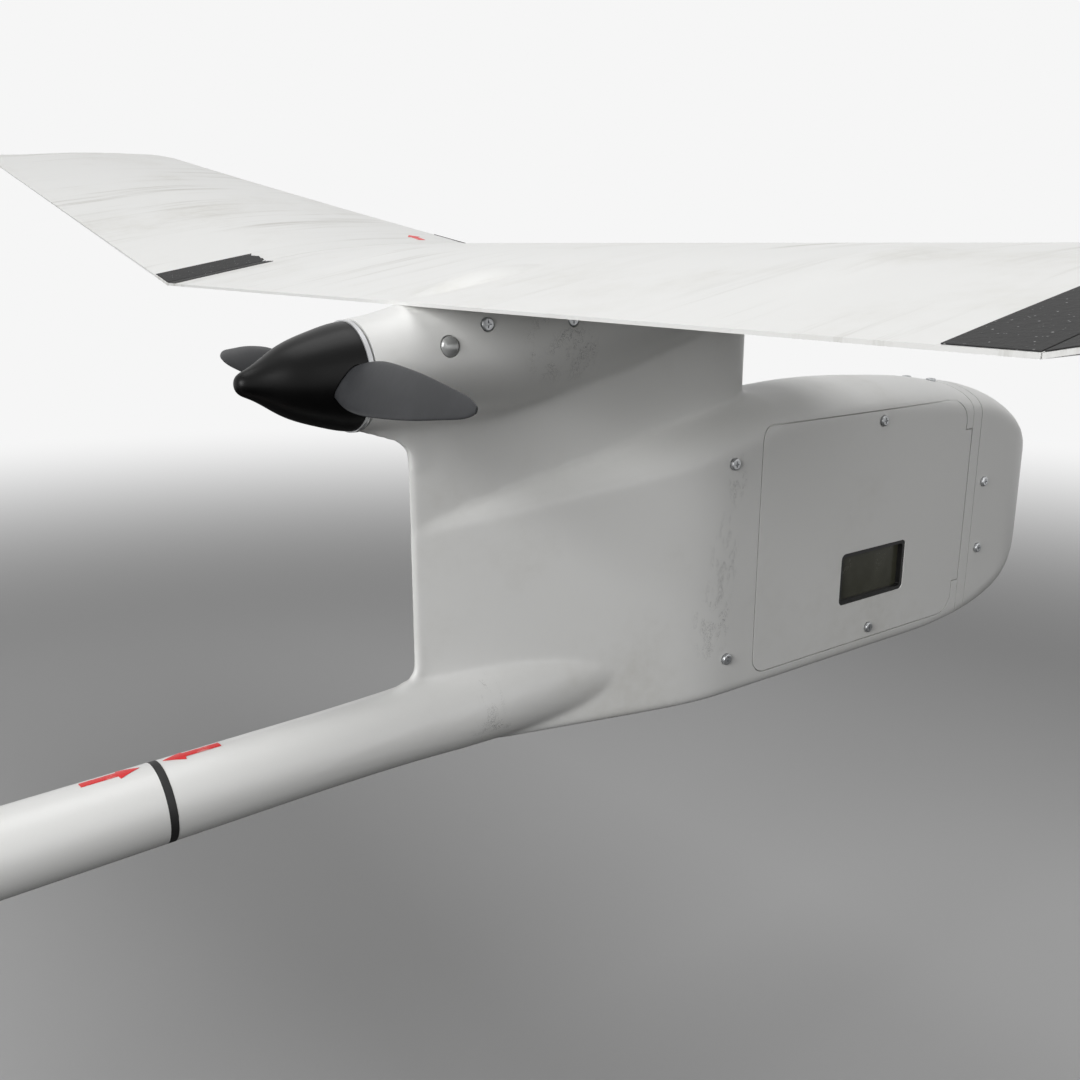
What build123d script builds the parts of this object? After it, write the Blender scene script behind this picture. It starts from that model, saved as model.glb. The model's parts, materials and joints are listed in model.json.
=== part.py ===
"""Hand-launched fixed wing drone: pod, pylon, three-piece wing, pusher motor and pull-off tail."""
import os
from math import cos, pi, radians, sin, sqrt, tan

from build123d import *

os.makedirs("parts", exist_ok=True)

# The model is laid out from the middle of the wing's trailing edge:
# X runs forward, Y to port and Z up, in millimetres. The finished set is then
# moved so that the origin lies under the middle of the whole object.

# ---- overall sizes ----
NOSE_X = 420.0            # front of the nose cap
TAIL_X = -491.0           # rear edge of the tail surfaces
SEMI_SPAN = 686.0         # centre line to wing tip

# ---- general clearances and walls ----
WALL = 2.0                # moulded shells
SEAM = 0.3                # between neighbouring skins and at soft seats
RUN = 0.06                # radial clearance of turning and sliding fits
FACE = 0.05               # lift of a skin laid on a curved face

# ---- wing ----
WING_CHORD = 218.6
TRAIL_THICK = 1.2         # height of the blunt trailing edge
BREAK_Y = 254.5           # joint between centre section and outer panel
DIHEDRAL = 12.3           # degrees, outer panels only
TIP_CHORD = 150.0
TIP_ROUND = 30.0          # radius of the tip's corners, seen from above
UPPER_SKIN = ((0.28, 0.0545), (0.367, 0.070), (0.54, 0.0892), (0.69, 0.0968), (0.80, 0.0981),
              (0.897, 0.0955), (0.946, 0.087))     # shares of the chord from the trailing edge
NOSE_POINT = (1.0, 0.0444)                         # leading edge, shares of the chord
FLAT_SHARE = 0.86         # length of the flat underside, share of the chord

SPAR_X, SPAR_Z = 150.0, 9.4      # carbon spar, at the break
SPAR_R, SPAR_WALL = 5.2, 1.1
PIN_X, PIN_Z, PIN_R = 60.0, 4.7, 2.0
JOINER_IN, JOINER_OUT = 60.0, 72.0
PIN_IN, PIN_OUT = 25.0, 34.0
PANEL_SPAR = 150.0        # length of the outer panels' own spar tubes
WING_BOLTS = (92.0, 164.0)       # screws up through the pylon's plate
BOLT_DEPTH = 9.0
TAPE_THICK = 0.3
TAPE_REAR, TAPE_FRONT = 58.0, 199.0     # forward end of the rear patch, rear end of the front patch
TAPE_INBOARD, TAPE_OUTBOARD = 17.0, 19.0
TAPE_NOSE_OUT = 42.0

# ---- pod ----
POD_HALF = 32.75          # half width of the parallel part
POD_FLOOR = -187.4
POD_TOP = -45.0
POD_REAR = 5.0            # thin upright rear edge
POD_EDGE = 1.2            # half thickness of that edge
POD_FULL_X = 150.0        # where the flanks become parallel
SHOULDER_Z = -60.0
FLOOR_ROUND = 5.0
RING_X, RING_LENGTH = 338.1, 8.0
NOSE_CURVE = 41.0         # length of the nose's rounding in plan
SPIGOT = 13.0             # reach of the ring's collar into the nose cap

# ---- pylon ----
PYLON_FRONT = 184.8
PYLON_HALF = 11.5
PYLON_WALL = 2.0
PLATE = 2.6               # top plate that carries the wing

# ---- motor nacelle and power train ----
MOTOR_Z = -26.5
NACELLE_REAR = -20.5
NACELLE_R = 20.6
NACELLE_MOUTH = 17.2
# fairing sections: x, lowest and highest point, half width
NACELLE_ROWS = ((NACELLE_REAR, -46.9, -5.9, NACELLE_R), (2, -46.8, -0.4, NACELLE_R), (34, -45.8, 10.6, NACELLE_R),
                (67, -41.0, 13.0, 19.6), (100, -35.0, 11.0, 18.0), (150, -22.0, 6.0, 15.0))
NACELLE_SCREWS = ((27.7, 19.4), (69.6, 18.6))     # x, and distance of the head's seat from the middle
NACELLE_SCREW_Z = -8.4
PLUG_X, PLUG_Z, PLUG_R = 10.4, -15.8, 3.9
MOUNT_X = 12.0
MOTOR_R, BELL_WALL = 14.0, 1.4
SHAFT_R = 2.0
SPINNER_X = -21.5         # forward edge of the spinner
SPINNER_R, SPINNER_LENGTH, SPINNER_WALL = 20.3, 44.3, 1.4
SPINNER_RIM = 1.8
PROP_X, PROP_R = -31.5, 100.0
HUB_R, HUB_LENGTH = 8.0, 11.0
# blade sections: radius in hundredths of PROP_R, chord, thickness and pitch in degrees
BLADE_STATIONS = ((7, 9, 5.6, 40), (16, 13, 4.6, 38), (28, 19.5, 3.4, 34), (42, 20.0, 2.7, 29), (58, 17.2, 2.3, 24),
                  (76, 12.6, 1.9, 20), (90, 8.4, 1.5, 17), (97, 5.2, 1.2, 15), (100, 2.2, 0.8, 14))
BLADE_PLAY = 0.5          # around the blades in the spinner's slots

# ---- access panel and window, starboard flank ----
PANEL_X0, PANEL_X1, PANEL_Z0, PANEL_Z1 = 170.5, 332.0, -179.9, -59.8
TAB_X, TAB_Z0, TAB_Z1 = 337.2, -162.2, -76.9
PANEL_ROUND = 10.0
FLANGE, FLANGE_THICK = 6.0, 1.6
WINDOW_X, WINDOW_Z = 259.45, -144.5
WINDOW_LONG, WINDOW_HIGH, WINDOW_ROUND = 52.9, 27.4, 3.0
BEZEL = 2.0

# ---- screws ----
SCREW_R, HEAD_R, HEAD_H = 1.5, 2.7, 1.5
SUNK = 1.0                # depth of the nacelle's recessed screw seats

# ---- tail boom and joint ----
BOOM_R, BOOM_WALL = 15.0, 1.2
BOOM_Z = -170.9           # height of the boom's axis at x = 0
BOOM_DROOP = 1.6          # degrees, tail low
JOINT_X, JOINT_RING = -104.6, 3.0
FERRULE_IN, FERRULE_OUT = 46.0, 40.0
FERRULE_WALL = 1.8
BOOM_END_X, BOOM_END_R = -458.0, 10.0    # rear end, just ahead of the hinge lines
TAPER_X = -170.0          # the tail boom tapers behind this

# ---- tail surfaces, in the boom's own frame ----
HINGE_X = -462.0          # elevator and rudder hinge lines
SURFACE_THICK = 5.0
STAB_SPAN, STAB_CHORD = 380.0, 52.0
FIN_HEIGHT, FIN_CHORD = 135.0, 58.0
EDGE_THICK = 1.2
LUG = 6.0
HINGE_PIN_R = 0.8
HORN = 13.0               # horn and servo arm radius, so the linkage is a parallelogram
HORN_STEP = 7.0           # the horn is narrow above this, clear of the fixed surface
ROD_R = 0.9
LINK_PIN_R, LINK_PLAY = 0.9, 0.25   # pins of arm and horn; extra play at the horn's pin
SERVO_LONG, SERVO_WIDE, SERVO_HIGH = 23.0, 12.0, 22.0
SERVO_NECK = 3.6          # from the case to the plane of the servo arm
CRADLE = 2.0              # least height of a servo's cradle over the boom
ELEVATOR_SERVO_X, RUDDER_SERVO_X = -376.0, -318.0
RUDDER_GAP = 16.0         # from the stabiliser up to the rudder, clear of the elevator's swing
STAB_LIFT = 6.0           # from the boom's skin up to the stabiliser's middle

# ---- equipment inside the pod ----
TRAY_Z, TRAY_X0, TRAY_X1 = -122.0, 176.0, 324.0
BATTERY_LONG, BATTERY_WIDE, BATTERY_HIGH = 128.0, 46.0, 42.0
BATTERY_X = 250.0
STRAP_WIDE, STRAP_THICK = 20.0, 1.2
BOARD_X, BOARD_LONG, BOARD_WIDE, BOARD_LIFT = 200.0, 52.0, 44.0, 5.0
RADIO_X = 286.0

PARTS = {}


def keep(name, *solids):
    """File one node, as a single solid or as a group of separate solids."""
    PARTS[name] = solids[0] if len(solids) == 1 else Compound(children=list(solids))


def block(x0, x1, y0, y1, z0, z1):
    """Box between two corners."""
    return Pos((x0 + x1) / 2, (y0 + y1) / 2, (z0 + z1) / 2) * Box(x1 - x0, y1 - y0, z1 - z0)


def rod(start, end, radius):
    """Round bar between two points."""
    line = Vector(*end) - Vector(*start)
    return Plane(origin=start, z_dir=line) * Cylinder(
        radius, line.length, align=(Align.CENTER, Align.CENTER, Align.MIN))


def tube(start, end, radius, wall):
    return rod(start, end, radius) - rod(start, end, radius - wall)


def upright(face):
    """A face drawn in x and z, stood up in the plane of symmetry."""
    return Plane.XZ * face


def largest(shape):
    """The biggest solid left by a cut, without its chips."""
    return max(shape.solids(), key=lambda solid: solid.volume)


# ------------------------------------------------------------------ wing


def wing_section(chord, grow=0.0, thick=1.0):
    """Aerofoil face in x and z: flat underside, blunt trailing edge at x = 0."""
    half = TRAIL_THICK * max(thick, 0.3)
    trail_top, trail_low = (-grow, grow), (-grow, -half - grow)
    flat_end = (chord * FLAT_SHARE, -half - grow)
    nose = (chord * NOSE_POINT[0] + grow, chord * NOSE_POINT[1] * thick)
    crown = [(chord * x, chord * z * thick + grow) for x, z in UPPER_SKIN]
    upper = Spline([trail_top, *crown, nose], tangents=[(1, 0.2 * thick), (0, -1)])
    under = Spline([nose, flat_end], tangents=[(0, -1), (-1, 0)])
    return make_face([upper, under, Line(flat_end, trail_low), Line(trail_low, trail_top)])


def centre_block(grow=0.0, reach=BREAK_Y):
    return extrude(upright(wing_section(WING_CHORD, grow)), reach, both=True)


def station(share):
    """Chord, trailing-edge offset and thickness factor at a share of the outer panel."""
    chord = WING_CHORD + (TIP_CHORD - WING_CHORD) * share
    length = SEMI_SPAN - BREAK_Y
    into_tip = max(0.0, (share - 1 + TIP_ROUND / length) * length / TIP_ROUND)
    bulge = sqrt(max(0.0, 1 - min(into_tip, 1.0) ** 2))
    inset = TIP_ROUND * (1 - bulge)
    return chord - 2 * inset, inset, max(bulge, 0.22) * (0.55 + 0.45 * (1 - share))


def outer_block(side, grow=0.0, first=0.0):
    """Outer panel without its bores; side is +1 for port and -1 for starboard."""
    length = SEMI_SPAN - BREAK_Y
    tip = TIP_ROUND / length
    steps = [first, 0.5, 1 - tip] + [1 - tip + tip * sin(radians(a)) for a in (35, 60, 78, 90)]
    faces = []
    for share in steps:
        chord, inset, thick = station(share)
        out = BREAK_Y + length * share
        lift = length * share * tan(radians(DIHEDRAL))
        base = Plane(origin=(inset, side * out, lift), x_dir=(1, 0, 0), z_dir=(0, -1, 0))
        faces.append(base * wing_section(chord, grow, thick))
    return loft(faces, ruled=True)


def wing_axis(side):
    """Direction in which an outer panel pulls off its joiners."""
    return Vector(0, side * cos(radians(DIHEDRAL)), sin(radians(DIHEDRAL)))


def bent_bar(side, x, z, radius, inside, outside):
    """Straight bar in the centre section that turns up into the outer panel."""
    knee = Vector(x, side * BREAK_Y, z)
    inner = rod(knee - Vector(0, side * inside, 0), knee, radius)
    outer = rod(knee, knee + wing_axis(side) * outside, radius)
    return inner + outer + Pos(*knee) * Sphere(radius)


def outer_bore(side, x, z, radius, depth):
    knee = Vector(x, side * BREAK_Y, z)
    back = knee - wing_axis(side) * 4
    return rod(back, knee + wing_axis(side) * depth, radius)


def make_wing(hump):
    """Three wing pieces with their spars, joiners and tape."""
    bar_r = SPAR_R - SPAR_WALL - RUN
    centre = centre_block() + hump
    spar_end = BREAK_Y - SEAM
    centre -= rod((SPAR_X, -BREAK_Y - 1, SPAR_Z), (SPAR_X, BREAK_Y + 1, SPAR_Z), SPAR_R + RUN)
    for side in (1, -1):
        centre -= rod((PIN_X, side * (BREAK_Y - PIN_IN - 1), PIN_Z),
                      (PIN_X, side * (BREAK_Y + 1), PIN_Z), PIN_R + RUN)
    for bolt_x in WING_BOLTS:
        centre -= rod((bolt_x, 0, -5), (bolt_x, 0, BOLT_DEPTH + 0.5), SCREW_R + RUN)
    keep("wing_centre", centre)
    keep("centre_spar", tube((SPAR_X, -spar_end, SPAR_Z), (SPAR_X, spar_end, SPAR_Z), SPAR_R, SPAR_WALL))
    skin = centre_block(FACE + TAPE_THICK) - centre_block(FACE) - hump
    centre_tape = []
    for side, name in ((1, "port"), (-1, "starboard")):
        panel = outer_block(side, first=SEAM / (SEMI_SPAN - BREAK_Y))
        panel -= outer_bore(side, SPAR_X, SPAR_Z, SPAR_R + RUN, PANEL_SPAR + 1)
        panel -= outer_bore(side, PIN_X, PIN_Z, PIN_R + RUN, PIN_OUT + 1)
        keep(f"wing_panel_{name}", panel)
        knee = Vector(SPAR_X, side * BREAK_Y, SPAR_Z)
        first = 2 * SEAM + SPAR_R * tan(radians(DIHEDRAL))
        sleeve = tube(tuple(knee + wing_axis(side) * first), tuple(knee + wing_axis(side) * PANEL_SPAR),
                      SPAR_R, SPAR_WALL)
        keep(f"wing_spar_{name}", sleeve)
        keep(f"wing_joiner_{name}", bent_bar(side, SPAR_X, SPAR_Z, bar_r, JOINER_IN, JOINER_OUT),
             bent_bar(side, PIN_X, PIN_Z, PIN_R, PIN_IN, PIN_OUT))
        start, end = sorted((side * (BREAK_Y - TAPE_INBOARD), side * (BREAK_Y - SEAM)))
        centre_tape += [largest(skin & block(0, TAPE_REAR, start, end, 0.5, 40)),
                        largest(skin & block(TAPE_FRONT, WING_CHORD + 5, start, end, 5, 40))]
        outer_skin = outer_block(side, FACE + TAPE_THICK) - outer_block(side, FACE)
        start, end = sorted((side * (BREAK_Y + SEAM), side * (BREAK_Y + TAPE_OUTBOARD)))
        rear = outer_skin & block(0, TAPE_REAR, start, end, 0.5, 60)
        start, end = sorted((side * (BREAK_Y + SEAM), side * (BREAK_Y + TAPE_NOSE_OUT)))
        front = outer_skin & block(TAPE_FRONT, WING_CHORD + 5, start, end, 5, 60)
        keep(f"wing_tape_{name}", largest(rear), largest(front))
    keep("wing_tape_centre", *centre_tape)


# ------------------------------------------------------------------ pod


def drawn_in(curve, inset, turn, shares):
    """Points of a flat curve moved square to it; turn is +1 to its left, -1 to its right."""
    points = []
    for share in shares:
        along = curve.tangent_at(share)
        place = curve.position_at(share)
        points.append((place.X - turn * inset * along.Y, place.Y + turn * inset * along.X))
    return points


def pod_side(inset=0.0):
    """Side outline of pod and nose, in x and z."""
    low, start_z = POD_FLOOR, POD_TOP - 2.4
    roof = Spline([(PYLON_FRONT, start_z), (229, POD_TOP), (288, POD_TOP - 2.1), (RING_X, POD_TOP - 8.0),
                   (NOSE_X - 40, -63), (NOSE_X - 18, -80), (NOSE_X - 5, -101), (NOSE_X, -127),
                   (NOSE_X - 4, -155), (NOSE_X - 19, -173.5), (NOSE_X - 42, -182), (RING_X, low + 2.4),
                   (300, low)], tangents=[(1, 0.05), (-1, 0)])
    if inset:
        roof = Spline(drawn_in(roof, inset, -1, [i / 24 for i in range(25)]), tangents=[(1, 0.05), (-1, 0)])
    start, end = roof @ 0, roof @ 1
    back = Polyline([(end.X, end.Y), (40, low + inset), (POD_REAR + inset, low + 8 + inset),
                     (POD_REAR + inset, -87 - inset), (start.X, start.Y)])
    return make_face([roof, back])


def pod_plan(inset=0.0):
    """Outline of the pod from above, in x and y."""
    half, centre_x = POD_HALF - inset, NOSE_X - NOSE_CURVE
    nose = EllipticalCenterArc((centre_x, 0), NOSE_CURVE - inset, half, -90, arc_size=180)
    taper = [(POD_REAR, POD_EDGE), (60, 14.5), (108, 26.4), (POD_FULL_X, POD_HALF)]
    port = Spline(taper, tangents=[(1, 0.22), (1, 0)])
    if inset:
        port = Spline(drawn_in(port, inset, -1, [0.15, 0.3, 0.5, 0.7, 0.85, 1]), tangents=[(1, 0.25), (1, 0)])
    star = mirror(port, Plane.XZ)
    rear, full = port @ 0, port @ 1
    return make_face([nose, port, star, Line((rear.X, rear.Y), (rear.X, -rear.Y)),
                      Line((full.X, half), (centre_x, half)), Line((full.X, -half), (centre_x, -half))])


def pod_front(inset=0.0):
    """Section of the parallel part, in y and z."""
    half, low = POD_HALF - inset, POD_FLOOR + inset
    crown = Spline([(-POD_HALF, SHOULDER_Z), (-27, -51.5), (0, POD_TOP), (27, -51.5), (POD_HALF, SHOULDER_Z)],
                   tangents=[(0, 1), (0, -1)])
    if inset:
        crown = Spline(drawn_in(crown, inset, -1, [i / 10 for i in range(11)]), tangents=[(0, 1), (0, -1)])
    sides = Polyline([(half, SHOULDER_Z), (half, low), (-half, low), (-half, SHOULDER_Z)])
    face = make_face([crown, sides])
    return fillet(face.vertices().sort_by(Axis.Y)[0:2], FLOOR_ROUND - inset)


def pod_block(inset=0.0):
    """Solid pod and nose, drawn in by the inset on every side."""
    solid = extrude(upright(pod_side(inset)), 2 * POD_HALF, both=True)
    solid &= extrude(pod_plan(inset), 300, both=True)
    return solid & extrude(Plane.YZ * pod_front(inset), 2 * NOSE_X, both=True)


def pylon_block(inset=0.0, low=-110.0, high=0.0):
    """Streamlined strut between pod and wing."""
    port = Spline([(POD_REAR + inset * 6, max(POD_EDGE - inset, 0.4)), (84, PYLON_HALF - inset),
                   (140, PYLON_HALF - inset), (PYLON_FRONT - inset, 0)],
                  tangents=[(1, 0.1), (0, -1)])
    face = make_face([port, mirror(port, Plane.XZ),
                      Line(port @ 0, (mirror(port, Plane.XZ)) @ 0)])
    return extrude(Pos(0, 0, low) * face, high - low)


def nacelle_block(inset=0.0):
    """Motor fairing: round behind, drawn up into the wing in front."""
    faces = []
    for x, low, high, half in NACELLE_ROWS:
        base = Plane(origin=(x, 0, (low + high) / 2), x_dir=(0, 1, 0), z_dir=(1, 0, 0))
        faces.append(base * Ellipse(half - inset, (high - low) / 2 - inset))
    return loft(faces)


def boom_location(x=0.0):
    """Frame on the boom's axis: local X runs forward along the boom."""
    return Location((0, 0, BOOM_Z), (0, -BOOM_DROOP, 0)) * Location((x, 0, 0))


def fairing_block():
    """Flare that carries the boom out of the pod."""
    faces = []
    joint = JOINT_X + JOINT_RING / 2
    for x, radius in ((joint - 2, BOOM_R), (joint + 40, BOOM_R), (60, BOOM_R + 3.5), (124, BOOM_R + 10.5)):
        drop = BOOM_Z + x * tan(radians(BOOM_DROOP)) if x < 0 else POD_FLOOR + radius
        base = Plane(origin=(x, 0, drop), x_dir=(0, 1, 0), z_dir=(1, 0, 0))
        faces.append(base * Circle(radius))
    return loft(faces)


def panel_outline(grow=0.0, tab_reach=0.0):
    """Access panel outline in x and z."""
    face = Pos((PANEL_X0 + PANEL_X1) / 2, (PANEL_Z0 + PANEL_Z1) / 2) * RectangleRounded(
        PANEL_X1 - PANEL_X0 + 2 * grow, PANEL_Z1 - PANEL_Z0 + 2 * grow, PANEL_ROUND + grow)
    tab_end = TAB_X + tab_reach + grow
    tab_high = TAB_Z1 - TAB_Z0 + 2 * grow
    face += Pos((PANEL_X1 - 20 + tab_end) / 2, (TAB_Z0 + TAB_Z1) / 2) * Rectangle(
        tab_end - PANEL_X1 + 20, tab_high)
    return face


def flank_slab(face, y_out, y_in):
    """Slab on the starboard flank between two depths."""
    return extrude(Plane(origin=(0, y_out, 0), x_dir=(1, 0, 0), z_dir=(0, -1, 0)) * face, y_out - y_in)


def pan_screw(point, out, length=8.0):
    """Pan head screw with a cross recess; the head's seat is at the point."""
    base = Plane(origin=point, z_dir=out)
    mid_min = (Align.CENTER, Align.CENTER, Align.MIN)
    screw = base * Cylinder(HEAD_R, HEAD_H, align=mid_min)
    screw = fillet(screw.edges().sort_by(lambda e: -(e.center() - Vector(*point)).dot(Vector(*out)))[0:1], 0.7)
    for turn in (0, 90):
        screw -= base * (Pos(0, 0, HEAD_H - 0.4) * Rot(0, 0, turn) * Box(2.9, 0.6, 0.9))
    return screw + Plane(origin=point, z_dir=(-Vector(*out))) * Cylinder(SCREW_R, length, align=mid_min)


def screw_sites():
    """Seats and directions of the body's screws, by node."""
    flank = POD_HALF
    panel = [((258.5, -flank, PANEL_Z1 - 5.1), (0, -1, 0)), ((258.5, -flank, PANEL_Z0 + 5.4), (0, -1, 0))]
    body = [((POD_FULL_X + 1.7, side * flank, z), (0, side, 0)) for side in (-1, 1) for z in (-74.7, -167.9)]
    nose = [((RING_X + 16.2, side * flank, z), (0, side, 0)) for side in (-1, 1) for z in (-108.1, -146.7)]
    return {"panel_screws": panel, "body_screws": body, "nose_screws": nose}


def screw_hole(site, length=8.5):
    point, out = site
    return rod(Vector(*point) + Vector(*out), Vector(*point) - Vector(*out) * length, SCREW_R + RUN)


def make_pod():
    """Fuselage shell, panel, window, ring, nose cap and their screws."""
    outer, inner = pod_block(), pod_block(WALL)
    big = 600
    behind = block(-big, RING_X, -big, big, -big, big)
    pod = outer & behind
    shell = pod + fairing_block()
    seat = -TRAIL_THICK
    shell += pylon_block(0, -110, 5)
    nacelle = nacelle_block()
    shell += nacelle
    shell -= block(-big, big, -big, big, seat, big)
    # hollow: pod, strut, nacelle and boom
    shell -= inner & block(24, RING_X + 1, -big, big, -big, big)
    shell -= pylon_block(PYLON_WALL, -120, seat - PLATE)
    hollow = nacelle_block(WALL) & block(MOUNT_X - 6, 132, -big, big, -big, seat - PLATE)
    shell -= hollow
    shell -= rod((NACELLE_REAR - 1, 0, MOTOR_Z), (MOUNT_X + 8, 0, MOTOR_Z), NACELLE_MOUTH)
    lane = boom_location()
    ferrule_r = BOOM_R - BOOM_WALL - RUN
    joint = JOINT_X + JOINT_RING / 2
    shell -= lane * block(joint - 30, joint, -30, 30, -30, 30)
    shell -= lane * rod((joint - 2, 0, 0), (joint + FERRULE_IN, 0, 0), ferrule_r + RUN)
    shell -= lane * rod((joint, 0, 0), (60, 0, 0), ferrule_r - 3)
    # access opening, with a flange behind the panel
    shell -= flank_slab(panel_outline(SEAM, 2.0), -POD_HALF - 1, -POD_HALF + WALL + 1)
    lip = flank_slab(panel_outline(FLANGE / 2, 0), -POD_HALF + WALL, -POD_HALF + WALL + FLANGE_THICK)
    lip -= flank_slab(panel_outline(-FLANGE, 0), -POD_HALF, -POD_HALF + WALL + 5)
    shell += lip & pod_block(WALL - 0.01) & block(0, RING_X, -big, big, -big, big)
    sites = screw_sites()
    top_sites = [((RING_X - 5.7, side * 7.9, POD_TOP - 7.6), (0, 0, 1)) for side in (-1, 1)]
    for site in sites["panel_screws"] + sites["body_screws"]:
        shell -= screw_hole(site)
    for point, out in top_sites:
        shell -= screw_hole((point, out))
        shell -= rod(point, Vector(*point) + Vector(*out) * 3, HEAD_R + SEAM)
    for bolt_x in WING_BOLTS:
        shell -= rod((bolt_x, 0, -10), (bolt_x, 0, 5), SCREW_R + RUN)
    for point, out in nacelle_sites():
        shell -= rod(Vector(*point) + Vector(*out) * 6, Vector(*point) - Vector(*out) * 9, SCREW_R + RUN)
        shell -= rod(Vector(*point) + Vector(*out) * 6, Vector(*point) - Vector(*out) * SUNK, HEAD_R + SEAM)
    for side in (-1, 1):
        shell -= plug_shape(side, RUN)
    keep("fuselage_shell", largest(shell))

    # access panel with the window's opening
    panel = flank_slab(panel_outline(), -POD_HALF, -POD_HALF + WALL)
    hole = Pos(WINDOW_X, WINDOW_Z) * RectangleRounded(WINDOW_LONG, WINDOW_HIGH, WINDOW_ROUND)
    panel -= flank_slab(hole, -POD_HALF - 1, -POD_HALF + WALL + 1)
    for site in sites["panel_screws"]:
        panel -= screw_hole(site)
    keep("access_panel", panel)
    frame = Pos(WINDOW_X, WINDOW_Z) * RectangleRounded(WINDOW_LONG - 2 * RUN, WINDOW_HIGH - 2 * RUN, WINDOW_ROUND)
    clear = Pos(WINDOW_X, WINDOW_Z) * RectangleRounded(WINDOW_LONG - 2 * BEZEL, WINDOW_HIGH - 2 * BEZEL, 1.5)
    flare = Pos(WINDOW_X, WINDOW_Z) * RectangleRounded(WINDOW_LONG + 5, WINDOW_HIGH + 5, WINDOW_ROUND + 2.5)
    depth = -POD_HALF + WALL
    bezel = flank_slab(frame, -POD_HALF + 0.4, depth) + flank_slab(flare, depth, depth + 1.2)
    bezel -= flank_slab(clear, -POD_HALF - 1, depth + 3)
    keep("window_bezel", bezel)
    pane = Pos(WINDOW_X, WINDOW_Z) * RectangleRounded(WINDOW_LONG - BEZEL, WINDOW_HIGH - BEZEL, 2.0)
    keep("camera_window", flank_slab(pane, depth + 1.2, depth + 2.8))

    # ring and nose cap
    ring_end = RING_X + RING_LENGTH
    ring = outer & block(RING_X + SEAM, ring_end, -big, big, -big, big)
    collar = pod_block(WALL + RUN) & block(RING_X + SEAM, ring_end + SPIGOT, -big, big, -big, big)
    collar += pod_block(WALL + RUN) & block(RING_X - 12, RING_X + 1, -14, 14, -58.5, 0)
    ring += collar
    room = pod_block(2 * WALL + RUN)
    ring -= room & block(RING_X - 20, RING_X + 1.6, -big, big, -big, big)
    ring -= room & block(RING_X + 1.6 + WALL, ring_end + SPIGOT + 1, -big, big, -big, big)
    ring -= rod((RING_X - 5, 0, -100), (RING_X + 9, 0, -100), 8)
    cap = (outer - inner) & block(ring_end + SEAM, NOSE_X + 1, -big, big, -big, big)
    for site in sites["nose_screws"]:
        ring -= screw_hole(site)
        cap -= screw_hole(site)
    for site in top_sites:
        ring -= screw_hole(site)
    keep("nose_ring", largest(ring))
    keep("nose_cap", largest(cap))
    keep("panel_screws", *[pan_screw(point, out, 6.0) for point, out in sites["panel_screws"]])
    deep = [(tuple(Vector(*point) - Vector(*out) * SUNK), out) for point, out in nacelle_sites()]
    places = sites["body_screws"] + sites["nose_screws"] + top_sites + deep
    keep("shell_screws", *[pan_screw(point, out, 6.0) for point, out in places])


def nacelle_sites():
    """Seats of the fairing screws on both flanks of the nacelle."""
    return [((x, side * half, NACELLE_SCREW_Z), (0, side, 0)) for side in (-1, 1) for x, half in NACELLE_SCREWS]


def plug_shape(side, grow=0.0):
    """Round plug with a stem, in the nacelle's flank."""
    return rod((PLUG_X, side * 22.5, PLUG_Z), (PLUG_X, side * (NACELLE_MOUTH + 0.3), PLUG_Z), PLUG_R + grow)


# ------------------------------------------------------------------ power train


def blade(side, grow=0.0, count=9):
    """Twisted blade on the port (+1) or starboard (-1) side, from its first stations."""
    faces = []
    for radius, chord, thick, pitch in BLADE_STATIONS[:count]:
        slope = radians(pitch)
        along = (-sin(slope) * side, 0, cos(slope))
        base = Plane(origin=(PROP_X, side * radius * PROP_R / 100, MOTOR_Z), x_dir=along, z_dir=(0, side, 0))
        faces.append(base * Ellipse(chord / 2 + grow, thick / 2 + grow))
    return loft(faces)


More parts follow.
